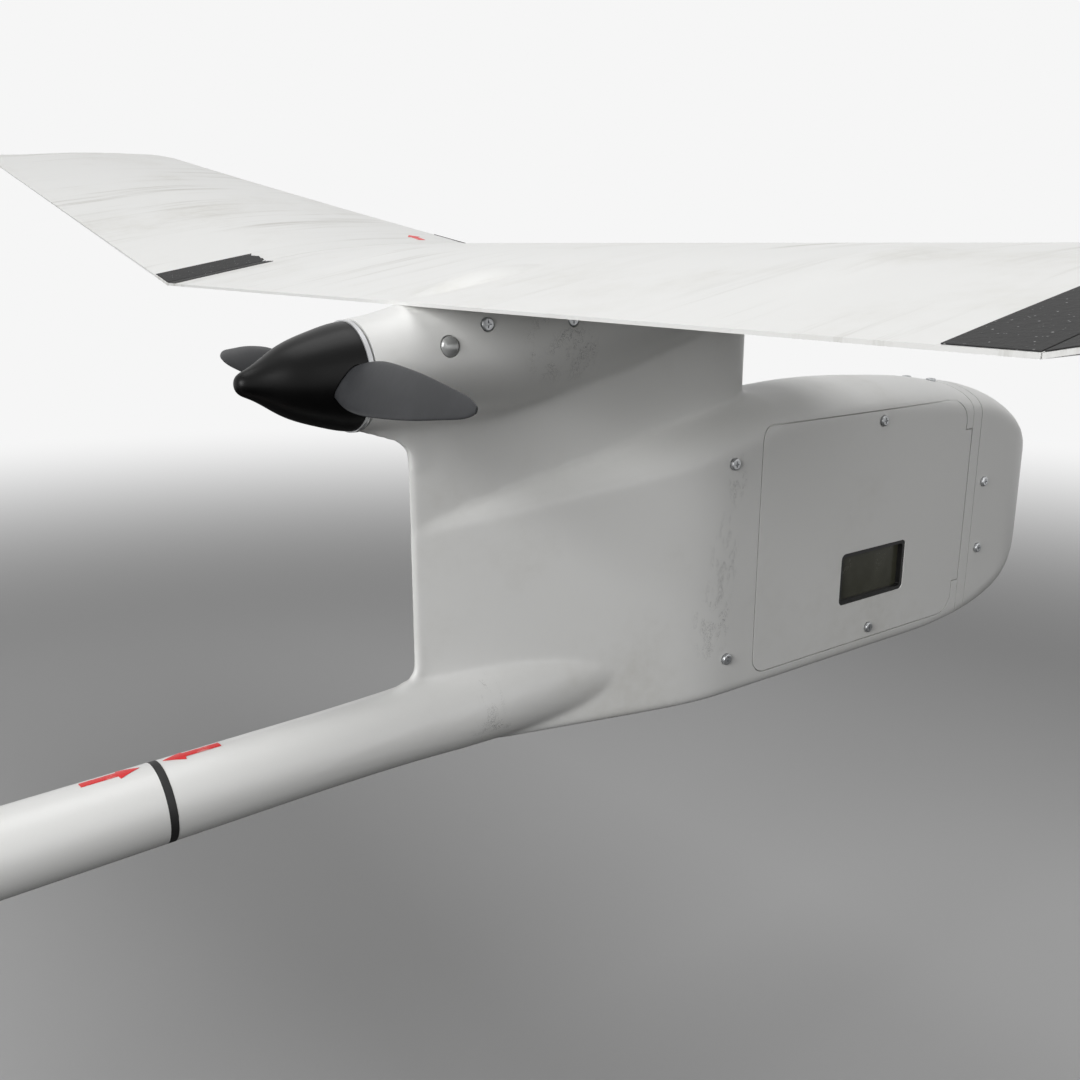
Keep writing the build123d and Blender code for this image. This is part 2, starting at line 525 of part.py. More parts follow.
def make_power():
    """Motor, shaft, propeller and spinner on the nacelle's axis."""
    def ring_at(x0, x1, radius, bore):
        return rod((x0, 0, MOTOR_Z), (x1, 0, MOTOR_Z), radius) - rod((x0 - 1, 0, MOTOR_Z), (x1 + 1, 0, MOTOR_Z), bore)

    mount = ring_at(MOUNT_X, MOUNT_X + 3, NACELLE_MOUTH - RUN, 5.0)
    screws = []
    for turn in (45, 135, 225, 315):
        y, z = 9 * cos(radians(turn)), MOTOR_Z + 9 * sin(radians(turn))
        mount -= rod((MOUNT_X - 1, y, z), (MOUNT_X + 4, y, z), SCREW_R + RUN)
        screws.append(rod((MOUNT_X + 5, y, z), (MOUNT_X - 2.4, y, z), SCREW_R)
                      + rod((MOUNT_X + 3, y, z), (MOUNT_X + 5, y, z), HEAD_R))
    keep("motor_mount", mount)
    keep("motor_screws", *screws)
    core_r = MOTOR_R - BELL_WALL - 1.0
    stator = ring_at(MOUNT_X - 3, MOUNT_X, MOTOR_R - 1, SHAFT_R + RUN)
    stator += ring_at(NACELLE_REAR + 8, MOUNT_X - 2, core_r, SHAFT_R + RUN)
    for step in range(12):
        y, z = core_r * cos(step * pi / 6), MOTOR_Z + core_r * sin(step * pi / 6)
        stator -= rod((NACELLE_REAR + 7, y, z), (MOUNT_X - 6, y, z), 1.6)
    for screw in screws:
        stator -= screw
    keep("motor_stator", stator)
    bell = ring_at(NACELLE_REAR + 4, MOUNT_X - 4, MOTOR_R, core_r + 0.6)
    bell += ring_at(NACELLE_REAR + 4, NACELLE_REAR + 6.5, MOTOR_R, SHAFT_R)
    keep("motor_bell", bell)
    shaft_end = PROP_X - HUB_LENGTH / 2 - 7
    keep("motor_shaft", rod((MOUNT_X + 2, 0, MOTOR_Z), (shaft_end, 0, MOTOR_Z), SHAFT_R))

    # propeller: hub and two twisted blades in one moulding
    prop = rod((PROP_X - HUB_LENGTH / 2, 0, MOTOR_Z), (PROP_X + HUB_LENGTH / 2, 0, MOTOR_Z), HUB_R)
    prop += blade(1) + blade(-1)
    prop -= rod((PROP_X - 20, 0, MOTOR_Z), (PROP_X + 20, 0, MOTOR_Z), SHAFT_R)
    keep("propeller", prop)
    nut_x = PROP_X - HUB_LENGTH / 2
    nut = Plane(origin=(nut_x, 0, MOTOR_Z), z_dir=(-1, 0, 0)) * extrude(RegularPolygon(4.0, 6), 4.0)
    keep("prop_nut", nut - rod((nut_x + 1, 0, MOTOR_Z), (nut_x - 6, 0, MOTOR_Z), SHAFT_R))

    # spinner: ogive shell on a rim, slotted for the blades
    def ogive(radius, length):
        tip = (SPINNER_X - length, 0)
        curve = Spline([(SPINNER_X, radius), (SPINNER_X - length * 0.30, radius * 0.87),
                        (SPINNER_X - length * 0.62, radius * 0.61), (SPINNER_X - length * 0.90, radius * 0.25), tip],
                       tangents=[(-1, -0.03), (0, -1)])
        face = make_face([curve, Line(tip, (SPINNER_X, 0)), Line((SPINNER_X, 0), (SPINNER_X, radius))])
        return Pos(0, 0, MOTOR_Z) * revolve(face, Axis.X)

    cone = ogive(SPINNER_R, SPINNER_LENGTH) - ogive(SPINNER_R - SPINNER_WALL, SPINNER_LENGTH - 2 * SPINNER_WALL)
    cone &= block(-200, SPINNER_X - SPINNER_RIM, -50, 50, -90, 50)
    for side in (1, -1):
        cone -= blade(side, BLADE_PLAY, 4)
    keep("spinner", largest(cone))
    plate = ring_at(SPINNER_X - SPINNER_RIM, SPINNER_X, SPINNER_R + 0.4, SHAFT_R)
    plate += ring_at(PROP_X + HUB_LENGTH / 2, SPINNER_X - SPINNER_RIM + 0.5, HUB_R, SHAFT_R)
    keep("spinner_plate", plate)


# ------------------------------------------------------------------ joint and tail


def boom_tube():
    """Tail boom in its own frame, open in front for the ferrule."""
    start = JOINT_X - JOINT_RING / 2
    points = [(start, 0), (start, BOOM_R), (TAPER_X, BOOM_R), (BOOM_END_X, BOOM_END_R), (BOOM_END_X, 0)]
    bore, closed_end = BOOM_R - BOOM_WALL, BOOM_END_X + 4
    hollow = [(start, 0), (start, bore), (TAPER_X, bore), (closed_end, BOOM_END_R - BOOM_WALL), (closed_end, 0)]
    solid = revolve(make_face(Polyline(points, close=True)), Axis.X)
    solid -= revolve(make_face(Polyline(hollow, close=True)), Axis.X)
    return solid


def boom_top(x):
    """Height of the boom's skin above its axis."""
    if x > TAPER_X:
        return BOOM_R
    return BOOM_R + (BOOM_END_R - BOOM_R) * (x - TAPER_X) / (BOOM_END_X - TAPER_X)


def flat_surface(outline, z):
    """Flat tail surface of constant thickness from an outline in x and y."""
    return extrude(Pos(0, 0, z - SURFACE_THICK / 2) * make_face(Polyline(outline, close=True)), SURFACE_THICK)


def hinged_blade(length, chord, bore, lugs):
    """Control surface along +Y from 0: round nose on the hinge axis, thin rear edge."""
    nose_r = SURFACE_THICK / 2
    profile = make_face([CenterArc((0, 0), nose_r, -90, 180), Line((0, nose_r), (-chord, EDGE_THICK / 2)),
                         Line((-chord, EDGE_THICK / 2), (-chord, -EDGE_THICK / 2)),
                         Line((-chord, -EDGE_THICK / 2), (0, -nose_r))])
    blade = extrude(Plane(origin=(0, 0, 0), x_dir=(1, 0, 0), z_dir=(0, -1, 0)) * profile, -length)
    blade -= rod((0, -1, 0), (0, length + 1, 0), bore)
    for y in lugs:
        blade -= block(-nose_r - 1.2, nose_r + 1, y - LUG / 2 - SEAM, y + LUG / 2 + SEAM, -10, 10)
    return blade


def lug_set(lugs, reach, bore):
    """Hinge eyes on the fixed surface's rear edge, along Y."""
    eyes = []
    eye_r = SURFACE_THICK / 2 - 0.2
    for y in lugs:
        eye = rod((0, y - LUG / 2, 0), (0, y + LUG / 2, 0), eye_r)
        eye += block(0, reach, y - LUG / 2, y + LUG / 2, -eye_r, eye_r)
        eyes.append(eye - rod((0, y - LUG, 0), (0, y + LUG, 0), bore))
    return eyes


def servo():
    """Small servo on its side: case with ears, output boss along +Y, arm plane at y = 0."""
    top, low = -SERVO_NECK, -SERVO_NECK - SERVO_HIGH
    half = SERVO_WIDE / 2
    case = block(-half, SERVO_LONG - half, low, top, -half, half)
    ears = block(-half - 4.5, SERVO_LONG - half + 4.5, top - 6.5, top - 4.5, -half, half)
    return case + ears + rod((0, top - 0.1, 0), (0, -1.2, 0), 3.4)


def boom_skin(grow):
    """Tapered outside of the boom, for seats that follow it."""
    outline = [(TAPER_X, 0), (TAPER_X, BOOM_R + grow), (BOOM_END_X, BOOM_END_R + grow), (BOOM_END_X, 0)]
    return revolve(make_face(Polyline(outline, close=True)), Axis.X)


def link_rod(start, end):
    """Pushrod in the x z plane between two pin centres, with a bored eye at each end."""
    first, last = Vector(*start), Vector(*end)
    along = (last - first).normalized()
    bar = rod(first + along * 2.4, last - along * 2.4, ROD_R)
    for x, _, z in (start, end):
        bar += rod((x, -ROD_R, z), (x, ROD_R, z), 2.7)
    for x, _, z in (start, end):
        bar -= rod((x, -3, z), (x, 3, z), LINK_PIN_R + RUN)
    return bar


def arm_shape():
    """Servo arm: hub at the origin, arm down to the pushrod's pin, along Y."""
    arm = rod((0, 0, 0), (0, 2.6, 0), 3.2) + block(-2, 2, 0.4, 2.4, -HORN - 2, 0)
    return arm + rod((0, 2.3, -HORN), (0, 4.9, -HORN), LINK_PIN_R)


def horn_shape(root):
    """Control horn: plate from the surface down to the pushrod's pin, cut back in front above HORN_STEP."""
    plate = block(-3, 3, 0.4, 2.4, -HORN - 2, -HORN_STEP) + block(-3, 1.2, 0.4, 2.4, -HORN_STEP - 1, root)
    return plate + rod((0, 2.3, -HORN), (0, 4.9, -HORN), LINK_PIN_R - LINK_PLAY)


def make_tail():
    """Boom joint, boom, stabiliser, fin, hinged surfaces and their linkages."""
    lane = boom_location()
    ferrule_r = BOOM_R - BOOM_WALL - RUN
    joint_front, joint_rear = JOINT_X + JOINT_RING / 2, JOINT_X - JOINT_RING / 2
    keep("boom_ferrule", lane * tube((joint_rear - FERRULE_OUT, 0, 0), (joint_front + FERRULE_IN - SEAM, 0, 0),
                                     ferrule_r, FERRULE_WALL))
    keep("boom_joint_ring", lane * tube((joint_rear + 0.1, 0, 0), (joint_front - 0.1, 0, 0), BOOM_R, BOOM_WALL))

    stab_z = boom_top(HINGE_X + STAB_CHORD / 2) + STAB_LIFT
    half_span = STAB_SPAN / 2
    lugs = [half_span * share for share in (-0.82, -0.42, 0.42, 0.82)]
    gap = SURFACE_THICK / 2 + 0.6
    root_front, tip_front = HINGE_X + STAB_CHORD + 8, HINGE_X + STAB_CHORD - 16
    outline = [(HINGE_X + gap, -half_span), (tip_front, -half_span), (root_front, 0), (tip_front, half_span),
               (HINGE_X + gap, half_span)]
    stab = flat_surface(outline, stab_z)
    stab = fillet(stab.edges().filter_by(Axis.Z).group_by(Axis.X)[1], 14.0)
    for eye in lug_set(lugs, gap + 1, HINGE_PIN_R):
        stab += Pos(HINGE_X, 0, stab_z) * eye
    fin_base = stab_z + SURFACE_THICK / 2
    saddle = block(HINGE_X + 8, root_front - 6, -6, 6, 0, stab_z - SURFACE_THICK / 2)
    saddle -= boom_skin(SEAM / 2)
    bolts = []
    for x in (HINGE_X + 16, root_front - 14):
        site = ((x, 0, fin_base), (0, 0, 1))
        stab -= screw_hole(site, 20)
        saddle -= screw_hole(site, 20)
        bolts.append(pan_screw(site[0], site[1], fin_base - boom_top(x) - 1.0))
    keep("tail_saddle", lane * largest(saddle))

    # fin, straddling the two tail screws, with its foot on the stabiliser
    fin_front = HINGE_X + FIN_CHORD
    fin_top = fin_base + FIN_HEIGHT
    face = make_face(Polyline([(HINGE_X + gap, fin_base), (fin_front, fin_base), (fin_front - 22, fin_top),
                               (HINGE_X + gap, fin_top)], close=True))
    fin = extrude(upright(face), SURFACE_THICK / 2, both=True)
    fin = fillet(fin.edges().filter_by(Axis.Y).sort_by(Axis.Z)[-2:-1], 12.0)
    fin_lugs = [FIN_HEIGHT * share for share in (0.22, 0.62, 0.92)]
    turn = Location((HINGE_X, 0, fin_base), (90, 0, 0))
    for eye in lug_set(fin_lugs, gap + 1, HINGE_PIN_R):
        fin += turn * eye
    for bolt in bolts:
        x = bolt.center().X
        fin -= block(x - HEAD_R - SEAM, x + HEAD_R + SEAM, -9, 9, 0, fin_base + HEAD_H + SEAM)
    keep("stabiliser", lane * largest(stab))
    keep("fin", lane * largest(fin))
    keep("tail_screws", *[lane * bolt for bolt in bolts])
    keep("tail_boom", lane * boom_tube())

    # hinge pins
    pins = [rod((HINGE_X, -half_span + 4, stab_z), (HINGE_X, half_span - 4, stab_z), HINGE_PIN_R - 0.02)]
    pins += [rod((HINGE_X, 0, fin_base + RUDDER_GAP + 4), (HINGE_X, 0, fin_top - 4), HINGE_PIN_R - 0.02)]
    keep("hinge_pins", lane * pins[0], lane * pins[1])

    # elevator and rudder
    chord = HINGE_X - TAIL_X
    blade = hinged_blade(2 * (half_span - 2), chord, HINGE_PIN_R + RUN, [y + half_span - 2 for y in lugs])
    elevator = Pos(HINGE_X, -half_span + 2, stab_z) * blade
    keep("elevator", lane * elevator)
    rudder = hinged_blade(FIN_HEIGHT - RUDDER_GAP, chord, HINGE_PIN_R + RUN,
                          [z - RUDDER_GAP for z in fin_lugs])
    keep("rudder", lane * (Location((HINGE_X, 0, fin_base + RUDDER_GAP), (90, 0, 0)) * rudder))
    return lane, stab_z, fin_base


# ------------------------------------------------------------------ equipment


def make_equipment():
    """Battery, boards, camera and speed controller."""
    inner_half = POD_HALF - WALL
    tray = block(TRAY_X0, TRAY_X1, -inner_half + FLANGE_THICK + 2 * SEAM, inner_half - SEAM, TRAY_Z - 2, TRAY_Z)
    slot_y = BATTERY_WIDE / 2 + SEAM + STRAP_THICK / 2
    for side in (-1, 1):
        tray -= block(BATTERY_X - STRAP_WIDE / 2 - SEAM, BATTERY_X + STRAP_WIDE / 2 + SEAM,
                      side * slot_y - STRAP_THICK, side * slot_y + STRAP_THICK, TRAY_Z - 5, TRAY_Z + 5)
    keep("battery_tray", tray)
    half_long, half_wide = BATTERY_LONG / 2, BATTERY_WIDE / 2
    pack = block(BATTERY_X - half_long, BATTERY_X + half_long, -half_wide, half_wide, TRAY_Z, TRAY_Z + BATTERY_HIGH)
    keep("battery_pack", fillet(pack.edges().filter_by(Axis.X), 3.0))
    loop_half, loop_top = half_wide + SEAM, TRAY_Z + BATTERY_HIGH + SEAM
    band = block(BATTERY_X - STRAP_WIDE / 2, BATTERY_X + STRAP_WIDE / 2, -loop_half - STRAP_THICK,
                 loop_half + STRAP_THICK, TRAY_Z - 2 - SEAM - STRAP_THICK, loop_top + STRAP_THICK)
    band -= block(BATTERY_X - 20, BATTERY_X + 20, -loop_half, loop_half, TRAY_Z - 2 - SEAM, loop_top)
    keep("battery_strap", band)

    floor = POD_FLOOR + WALL
    board_z = floor + BOARD_LIFT
    x0, x1 = BOARD_X - BOARD_LONG / 2, BOARD_X + BOARD_LONG / 2
    board = block(x0, x1, -BOARD_WIDE / 2, BOARD_WIDE / 2, board_z, board_z + 1.6)
    board += block(BOARD_X - 8, BOARD_X + 8, -8, 8, board_z + 1.5, board_z + 3.2)
    board += block(x0 + 2, x0 + 8, -16, 16, board_z + 1.5, board_z + 7)
    keep("autopilot_board", board)
    posts = [rod((x, y, floor), (x, y, board_z), 2.2) for x in (x0 + 4, x1 - 4)
             for y in (4 - BOARD_WIDE / 2, BOARD_WIDE / 2 - 4)]
    keep("board_standoffs", *posts)
    keep("radio_module", block(RADIO_X - 14, RADIO_X + 14, -18, 18, floor, floor + 11))

    # side camera behind the window, on a bracket from the floor
    eye_y = -POD_HALF + WALL + 2.8
    camera = block(WINDOW_X - 12, WINDOW_X + 12, eye_y + 9, eye_y + 31, WINDOW_Z - 12, WINDOW_Z + 12)
    keep("camera_body", camera)
    lens = rod((WINDOW_X, eye_y + 9, WINDOW_Z), (WINDOW_X, eye_y + 1, WINDOW_Z), 8.5)
    keep("camera_lens", lens - rod((WINDOW_X, eye_y + 2.5, WINDOW_Z), (WINDOW_X, eye_y, WINDOW_Z), 6.5))
    bracket = block(WINDOW_X - 10, WINDOW_X + 10, eye_y + 9, eye_y + 31, WINDOW_Z - 14, WINDOW_Z - 12)
    bracket += block(WINDOW_X - 10, WINDOW_X + 10, eye_y + 31, eye_y + 33, floor, WINDOW_Z - 4)
    bracket += block(WINDOW_X - 10, WINDOW_X + 10, eye_y + 20, eye_y + 33, floor, floor + 2)
    keep("camera_bracket", bracket)

    inner_wall = PYLON_HALF - PYLON_WALL
    keep("speed_controller", block(92, 136, -inner_wall + 1.6, inner_wall - 1.6, -44, -24))
    ring_face = RING_X + 1.6 + WALL
    keep("gps_antenna", block(ring_face, ring_face + 8, -14, 14, -140, -112))
    bolts = []
    for bolt_x in WING_BOLTS:
        plate_low = -TRAIL_THICK - PLATE
        bolts.append(rod((bolt_x, 0, plate_low), (bolt_x, 0, BOLT_DEPTH), SCREW_R)
                     + rod((bolt_x, 0, plate_low), (bolt_x, 0, plate_low - 2.4), HEAD_R + 0.8))
    keep("wing_bolts", *bolts)
    plugs = []
    for side in (-1, 1):
        plug = plug_shape(side) & nacelle_block(-1.2)
        plugs.append(plug)
    keep("nacelle_plugs", *plugs)


def make_linkages(lane, stab_z, fin_base):
    """Servos on the boom with arms, pushrods and horns: two parallelograms."""
    rod_y = 2.4 + ROD_R + 0.4
    # elevator: turning about Y on the starboard side, arms hanging down
    base_z = boom_top(ELEVATOR_SERVO_X) + CRADLE
    axis = Vector(ELEVATOR_SERVO_X, 0, base_z + SERVO_WIDE / 2)
    arm_y = SERVO_NECK + SERVO_HIGH / 2
    pin = Vector(HINGE_X, 0, stab_z)
    flip = Plane.XZ
    servos = [lane * mirror(Pos(axis.X, arm_y, axis.Z) * servo(), flip)]
    keep("elevator_arm", lane * mirror(Pos(axis.X, arm_y, axis.Z) * arm_shape(), flip))
    keep("elevator_horn", lane * mirror(Pos(pin.X, arm_y, pin.Z) * horn_shape(-SURFACE_THICK / 2), flip))
    link = link_rod((axis.X, 0, axis.Z - HORN), (pin.X, 0, pin.Z - HORN))
    keep("elevator_pushrod", lane * mirror(Pos(0, arm_y + rod_y, 0) * link, flip))
    # rudder: turning about Z on the port side, arms pointing to port
    plane_z = fin_base + RUDDER_GAP + 4.0
    upright_turn = Rot(90, 0, 0)
    servos.append(lane * (Pos(RUDDER_SERVO_X, 0, plane_z) * (upright_turn * servo())))
    keep("tail_servos", *servos)
    keep("rudder_arm", lane * (Pos(RUDDER_SERVO_X, 0, plane_z) * (upright_turn * arm_shape())))
    keep("rudder_horn", lane * (Pos(HINGE_X, 0, plane_z) * (upright_turn * horn_shape(-SURFACE_THICK / 2))))
    link = link_rod((RUDDER_SERVO_X, 0, -HORN), (HINGE_X, 0, -HORN))
    keep("rudder_pushrod", lane * (Pos(0, 0, plane_z + rod_y) * (upright_turn * link)))
    # cradles that seat the servos on the round boom
    half = SERVO_WIDE / 2
    low_case = plane_z - SERVO_NECK - SERVO_HIGH
    cradles = []
    for x, top, wide in ((ELEVATOR_SERVO_X, base_z, SERVO_HIGH / 2 - 1), (RUDDER_SERVO_X, low_case, half)):
        seat = block(x - half + 1, x + SERVO_LONG - half - 1, -wide, wide, 0, top) - boom_skin(FACE)
        cradles.append(lane * largest(seat))
    keep("servo_cradles", *cradles)


def main():
    make_pod()
    hump = nacelle_block() & block(2, 90, -60, 60, -TRAIL_THICK / 2, 60)
    make_wing(hump)
    make_power()
    lane, stab_z, fin_base = make_tail()
    make_equipment()
    make_linkages(lane, stab_z, fin_base)
    boxes = [shape.bounding_box() for shape in PARTS.values()]
    rear, front = min(box.min.X for box in boxes), max(box.max.X for box in boxes)
    shift = Pos(-(rear + front) / 2, 0, -min(box.min.Z for box in boxes))
    print("origin shift", shift.position)
    for name, shape in PARTS.items():
        export_step(shift * shape, f"parts/{name}.step")


main()
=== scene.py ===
# %% [markdown]
# # A hand-launched fixed wing drone
# The drone is a boxy equipment pod under a three-piece wing, with a pusher propeller behind
# a small nacelle and a tail on a long boom. Its mechanical parts come ready made as a fixed
# frame; this lesson gives them their skins and finishes. Everything is in metres, and every
# new piece sits where the frame says.

# %% Load the frame
import json
from math import cos, pi, radians, sin, sqrt, tan

import bmesh
import bpy
import numpy as np
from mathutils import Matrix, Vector


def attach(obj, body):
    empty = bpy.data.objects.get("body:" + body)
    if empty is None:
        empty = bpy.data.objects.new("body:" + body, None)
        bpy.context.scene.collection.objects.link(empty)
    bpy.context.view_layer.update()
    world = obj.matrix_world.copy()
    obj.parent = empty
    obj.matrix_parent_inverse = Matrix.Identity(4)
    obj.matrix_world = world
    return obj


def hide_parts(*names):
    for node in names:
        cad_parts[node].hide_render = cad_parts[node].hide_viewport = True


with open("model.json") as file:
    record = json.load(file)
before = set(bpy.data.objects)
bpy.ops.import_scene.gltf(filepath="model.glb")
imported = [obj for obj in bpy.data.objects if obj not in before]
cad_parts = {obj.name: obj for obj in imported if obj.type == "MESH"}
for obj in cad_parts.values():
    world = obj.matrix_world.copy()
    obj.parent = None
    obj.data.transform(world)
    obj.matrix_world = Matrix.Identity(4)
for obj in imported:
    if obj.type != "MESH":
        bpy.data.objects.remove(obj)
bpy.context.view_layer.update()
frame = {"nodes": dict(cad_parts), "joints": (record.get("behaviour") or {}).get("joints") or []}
nodes = frame["nodes"]
MM = 0.001

# %% [markdown]
# Positions are easiest to think of in the plane's own terms: millimetres from the middle of
# the wing's trailing edge. The propeller's joint is a known point in both systems, so the two
# are tied together there.

# %% The plane's own origin
PROP_X, MOTOR_Z = -31.5, -26.5
prop_joint = next(joint for joint in frame["joints"] if joint["name"] == "prop_spin")
prop_at = prop_joint["pos_m"]
HOME = Vector((prop_at[0] - PROP_X * MM, 0, prop_at[2] - MOTOR_Z * MM))


def at(x, y, z):
    """World point from millimetres forward, to port and up."""
    return HOME + Vector((x, y, z)) * MM


print("origin of the plane", tuple(round(value, 4) for value in HOME))

# %% [markdown]
# The camera stands low behind the starboard wing, a wide lens close to the subject, so that
# the boom runs out of view on the left and the wing's root passes overhead.

# %% Camera
FOCAL_PX, FRAME_PX, SENSOR = 1108.22, 1080, 36.0
camera_data = bpy.data.cameras.new("camera")
camera_data.sensor_width = SENSOR
camera_data.lens = SENSOR * FOCAL_PX / FRAME_PX
camera_data.clip_start, camera_data.clip_end = 0.01, 60
camera = bpy.data.objects.new("camera", camera_data)
bpy.context.collection.objects.link(camera)
camera.location = at(-212.2, -372.2, 20.9)
camera.rotation_euler = (radians(90 - 14.95), 0, radians(-36.86))
bpy.context.scene.camera = camera

# %% [markdown]
# ## Small tools
# Three habits keep the operators predictable: nothing is selected before a primitive is
# added, faces are selected in code, and each modifier is applied as soon as it is set.

# %% Selection and modifiers


def deselect():
    if bpy.context.object and bpy.context.object.mode != "OBJECT":
        bpy.ops.object.mode_set(mode="OBJECT")
    bpy.ops.object.select_all(action="DESELECT")


def activate(obj):
    deselect()
    obj.select_set(True)
    bpy.context.view_layer.objects.active = obj


def modify(obj, kind, **settings):
    """Add one modifier and apply it at once."""
    activate(obj)
    modifier = obj.modifiers.new(kind.lower(), kind)
    for key, value in settings.items():
        setattr(modifier, key, value)
    bpy.ops.object.modifier_apply(modifier=modifier.name)


def edit(obj, *steps):
    """Run edit-mode operators on the whole mesh."""
    activate(obj)
    bpy.ops.object.mode_set(mode="EDIT")
    bpy.ops.mesh.select_all(action="SELECT")
    for step in steps:
        step()
    bpy.ops.object.mode_set(mode="OBJECT")


def smooth(obj, degrees=35):
    activate(obj)
    bpy.ops.object.shade_smooth_by_angle(angle=radians(degrees))


def outward():
    bpy.ops.mesh.normals_make_consistent(inside=False)


# %% [markdown]
# Hulls and wings are both skins over a row of ribs. A grid is added, its rows are laid on the
# ribs, its first and last columns are merged into a seam and the open ends are filled.

# %% Skin over ribs


def clamped(points, start, end, count):
    """Smooth curve through points with given end directions, as count + 1 samples."""
    places = np.array(points, float)
    steps = np.linalg.norm(np.diff(places, axis=0), axis=1)
    knots = np.concatenate([[0], np.cumsum(steps)])
    size = len(places)
    system, right = np.zeros((size, size)), np.zeros_like(places)
    system[0, 0] = system[-1, -1] = 1
    right[0] = np.array(start) / np.linalg.norm(start)
    right[-1] = np.array(end) / np.linalg.norm(end)
    for i in range(1, size - 1):
        before, after = steps[i - 1], steps[i]
        system[i, i - 1:i + 2] = after, 2 * (before + after), before
        rise = (places[i] - places[i - 1]) * after / before + (places[i + 1] - places[i]) * before / after
        right[i] = 3 * rise
    slopes = np.linalg.solve(system, right)
    samples = np.linspace(0, knots[-1], count + 1)
    spans = np.clip(np.searchsorted(knots, samples, side="right") - 1, 0, size - 2)
    out = []
    for sample, i in zip(samples, spans):
        u = (sample - knots[i]) / steps[i]
        out.append((2 * u ** 3 - 3 * u ** 2 + 1) * places[i]
                   + (u ** 3 - 2 * u ** 2 + u) * steps[i] * slopes[i]
                   + (3 * u ** 2 - 2 * u ** 3) * places[i + 1] + (u ** 3 - u ** 2) * steps[i] * slopes[i + 1])
    return np.array(out)


def skin_over(name, ribs, fill=True):
    """Closed skin over ribs of equal point counts, each a list of world points."""
    count, rows = len(ribs[0]), len(ribs)
    deselect()
    bpy.ops.mesh.primitive_grid_add(x_subdivisions=count, y_subdivisions=rows - 1, size=1)
    obj = bpy.context.object
    obj.name = obj.data.name = name
    places = np.array([list(point) for rib in ribs for point in [*rib, rib[0]]])
    obj.data.vertices.foreach_set("co", places.ravel())
    steps = [lambda: bpy.ops.mesh.remove_doubles(threshold=2e-6)]
    if fill:
        steps += [lambda: bpy.ops.mesh.select_all(action="DESELECT"),
                  lambda: bpy.ops.mesh.select_non_manifold(extend=False),
                  lambda: bpy.ops.mesh.fill_holes(sides=0),
                  lambda: bpy.ops.mesh.select_all(action="SELECT")]
    edit(obj, *steps, outward)
    return obj


def carve(obj, cutters):
    """Take cutters that don't touch each other away from a piece in one cut, and remove them."""
    activate(cutters[0])
    for cutter in cutters[1:]:
        cutter.select_set(True)
    if len(cutters) > 1:
        bpy.ops.object.join()
    tool = bpy.context.object
    modify(obj, "BOOLEAN", operation="DIFFERENCE", object=tool, solver="EXACT")
    bpy.data.objects.remove(tool)


def bar(name, start, end, radius, sides=32):
    """Round bar between two world points."""
    line = end - start
    deselect()
    bpy.ops.mesh.primitive_cylinder_add(vertices=sides, radius=radius * MM, depth=line.length)
    obj = bpy.context.object
    obj.name = name
    turn = line.to_track_quat("Z", "Y").to_matrix().to_4x4()
    turn.translation = (start + end) / 2
    obj.data.transform(turn)
    return obj


def brick(name, low, high):
    """Box between two corners given in the plane's millimetres."""
    deselect()
    bpy.ops.mesh.primitive_cube_add(size=1)
    obj = bpy.context.object
    obj.name = name
    size = [(b - a) * MM for a, b in zip(low, high)]
    middle = at(*[(a + b) / 2 for a, b in zip(low, high)])
    for vertex in obj.data.vertices:
        vertex.co = Vector([c * s for c, s in zip(vertex.co, size)]) + middle
    return obj


# %% [markdown]
# ## The wing's section
# The aerofoil has a flat underside and a blunt trailing edge. All three wing pieces use the
# same shares of the chord.

# %% Aerofoil rib
CHORD, TRAIL_THICK, BREAK_Y, DIHEDRAL = 218.6, 1.2, 254.5, 12.3
TIP_CHORD, TIP_ROUND, SEMI_SPAN, SEAM = 150.0, 30.0, 686.0, 0.3
UPPER_SKIN = ((0.28, 0.0545), (0.367, 0.070), (0.54, 0.0892), (0.69, 0.0968), (0.80, 0.0981),
              (0.897, 0.0955), (0.946, 0.087))
NOSE_POINT, FLAT_SHARE = (1.0, 0.0444), 0.86
TOP_COUNT, UNDER_COUNT, FLAT_COUNT = 84, 16, 24


def aerofoil(chord, thick=1.0):
    """Rib outline in millimetres: over the top, round the nose and back along the flat."""
    half = TRAIL_THICK * max(thick, 0.3)
    nose = (chord * NOSE_POINT[0], chord * NOSE_POINT[1] * thick)
    crown = [(chord * x, chord * z * thick) for x, z in UPPER_SKIN]
    flat_end = (chord * FLAT_SHARE, -half)
    top = clamped([(0, 0), *crown, nose], (1, 0.2 * thick), (0, -1), TOP_COUNT)
    under = clamped([nose, flat_end], (0, -1), (-1, 0), UNDER_COUNT)
    flat = np.linspace(flat_end, (0, -half), FLAT_COUNT + 1)
    return np.concatenate([top, under[1:], flat[1:]])


# %% [markdown]
# ## Centre section
# The motor's fairing pushes up through the skin at the trailing edge, and two shallow
# blisters cover the fittings inside. Both are moves of the upper skin's points, so the ribs
# stand closer together where the skin bends.

# %% Fairing and blister heights
NACELLE_ROWS = ((-26.5, -46.9, -5.9, 20.6), (2, -46.8, -0.4, 20.6), (34, -45.8, 10.6, 20.6),
                (67, -41.0, 13.0, 19.6), (100, -35.0, 11.0, 18.0), (150, -22.0, 6.0, 15.0))
NACELLE_CURVE = clamped(NACELLE_ROWS, (1, 0, 0.05, 0), (1, 0.25, -0.1, -0.1), 60)


def nacelle_at(x):
    """Low edge, high edge and half width of the nacelle at a station."""
    return [float(np.interp(x, NACELLE_CURVE[:, 0], NACELLE_CURVE[:, i])) for i in (1, 2, 3)]


def fairing_height(x, y):
    low, high, half = nacelle_at(x)
    inside = 1 - (y / half) ** 2
    return (low + high) / 2 + (high - low) / 2 * sqrt(inside) if inside > 0 else -99.0


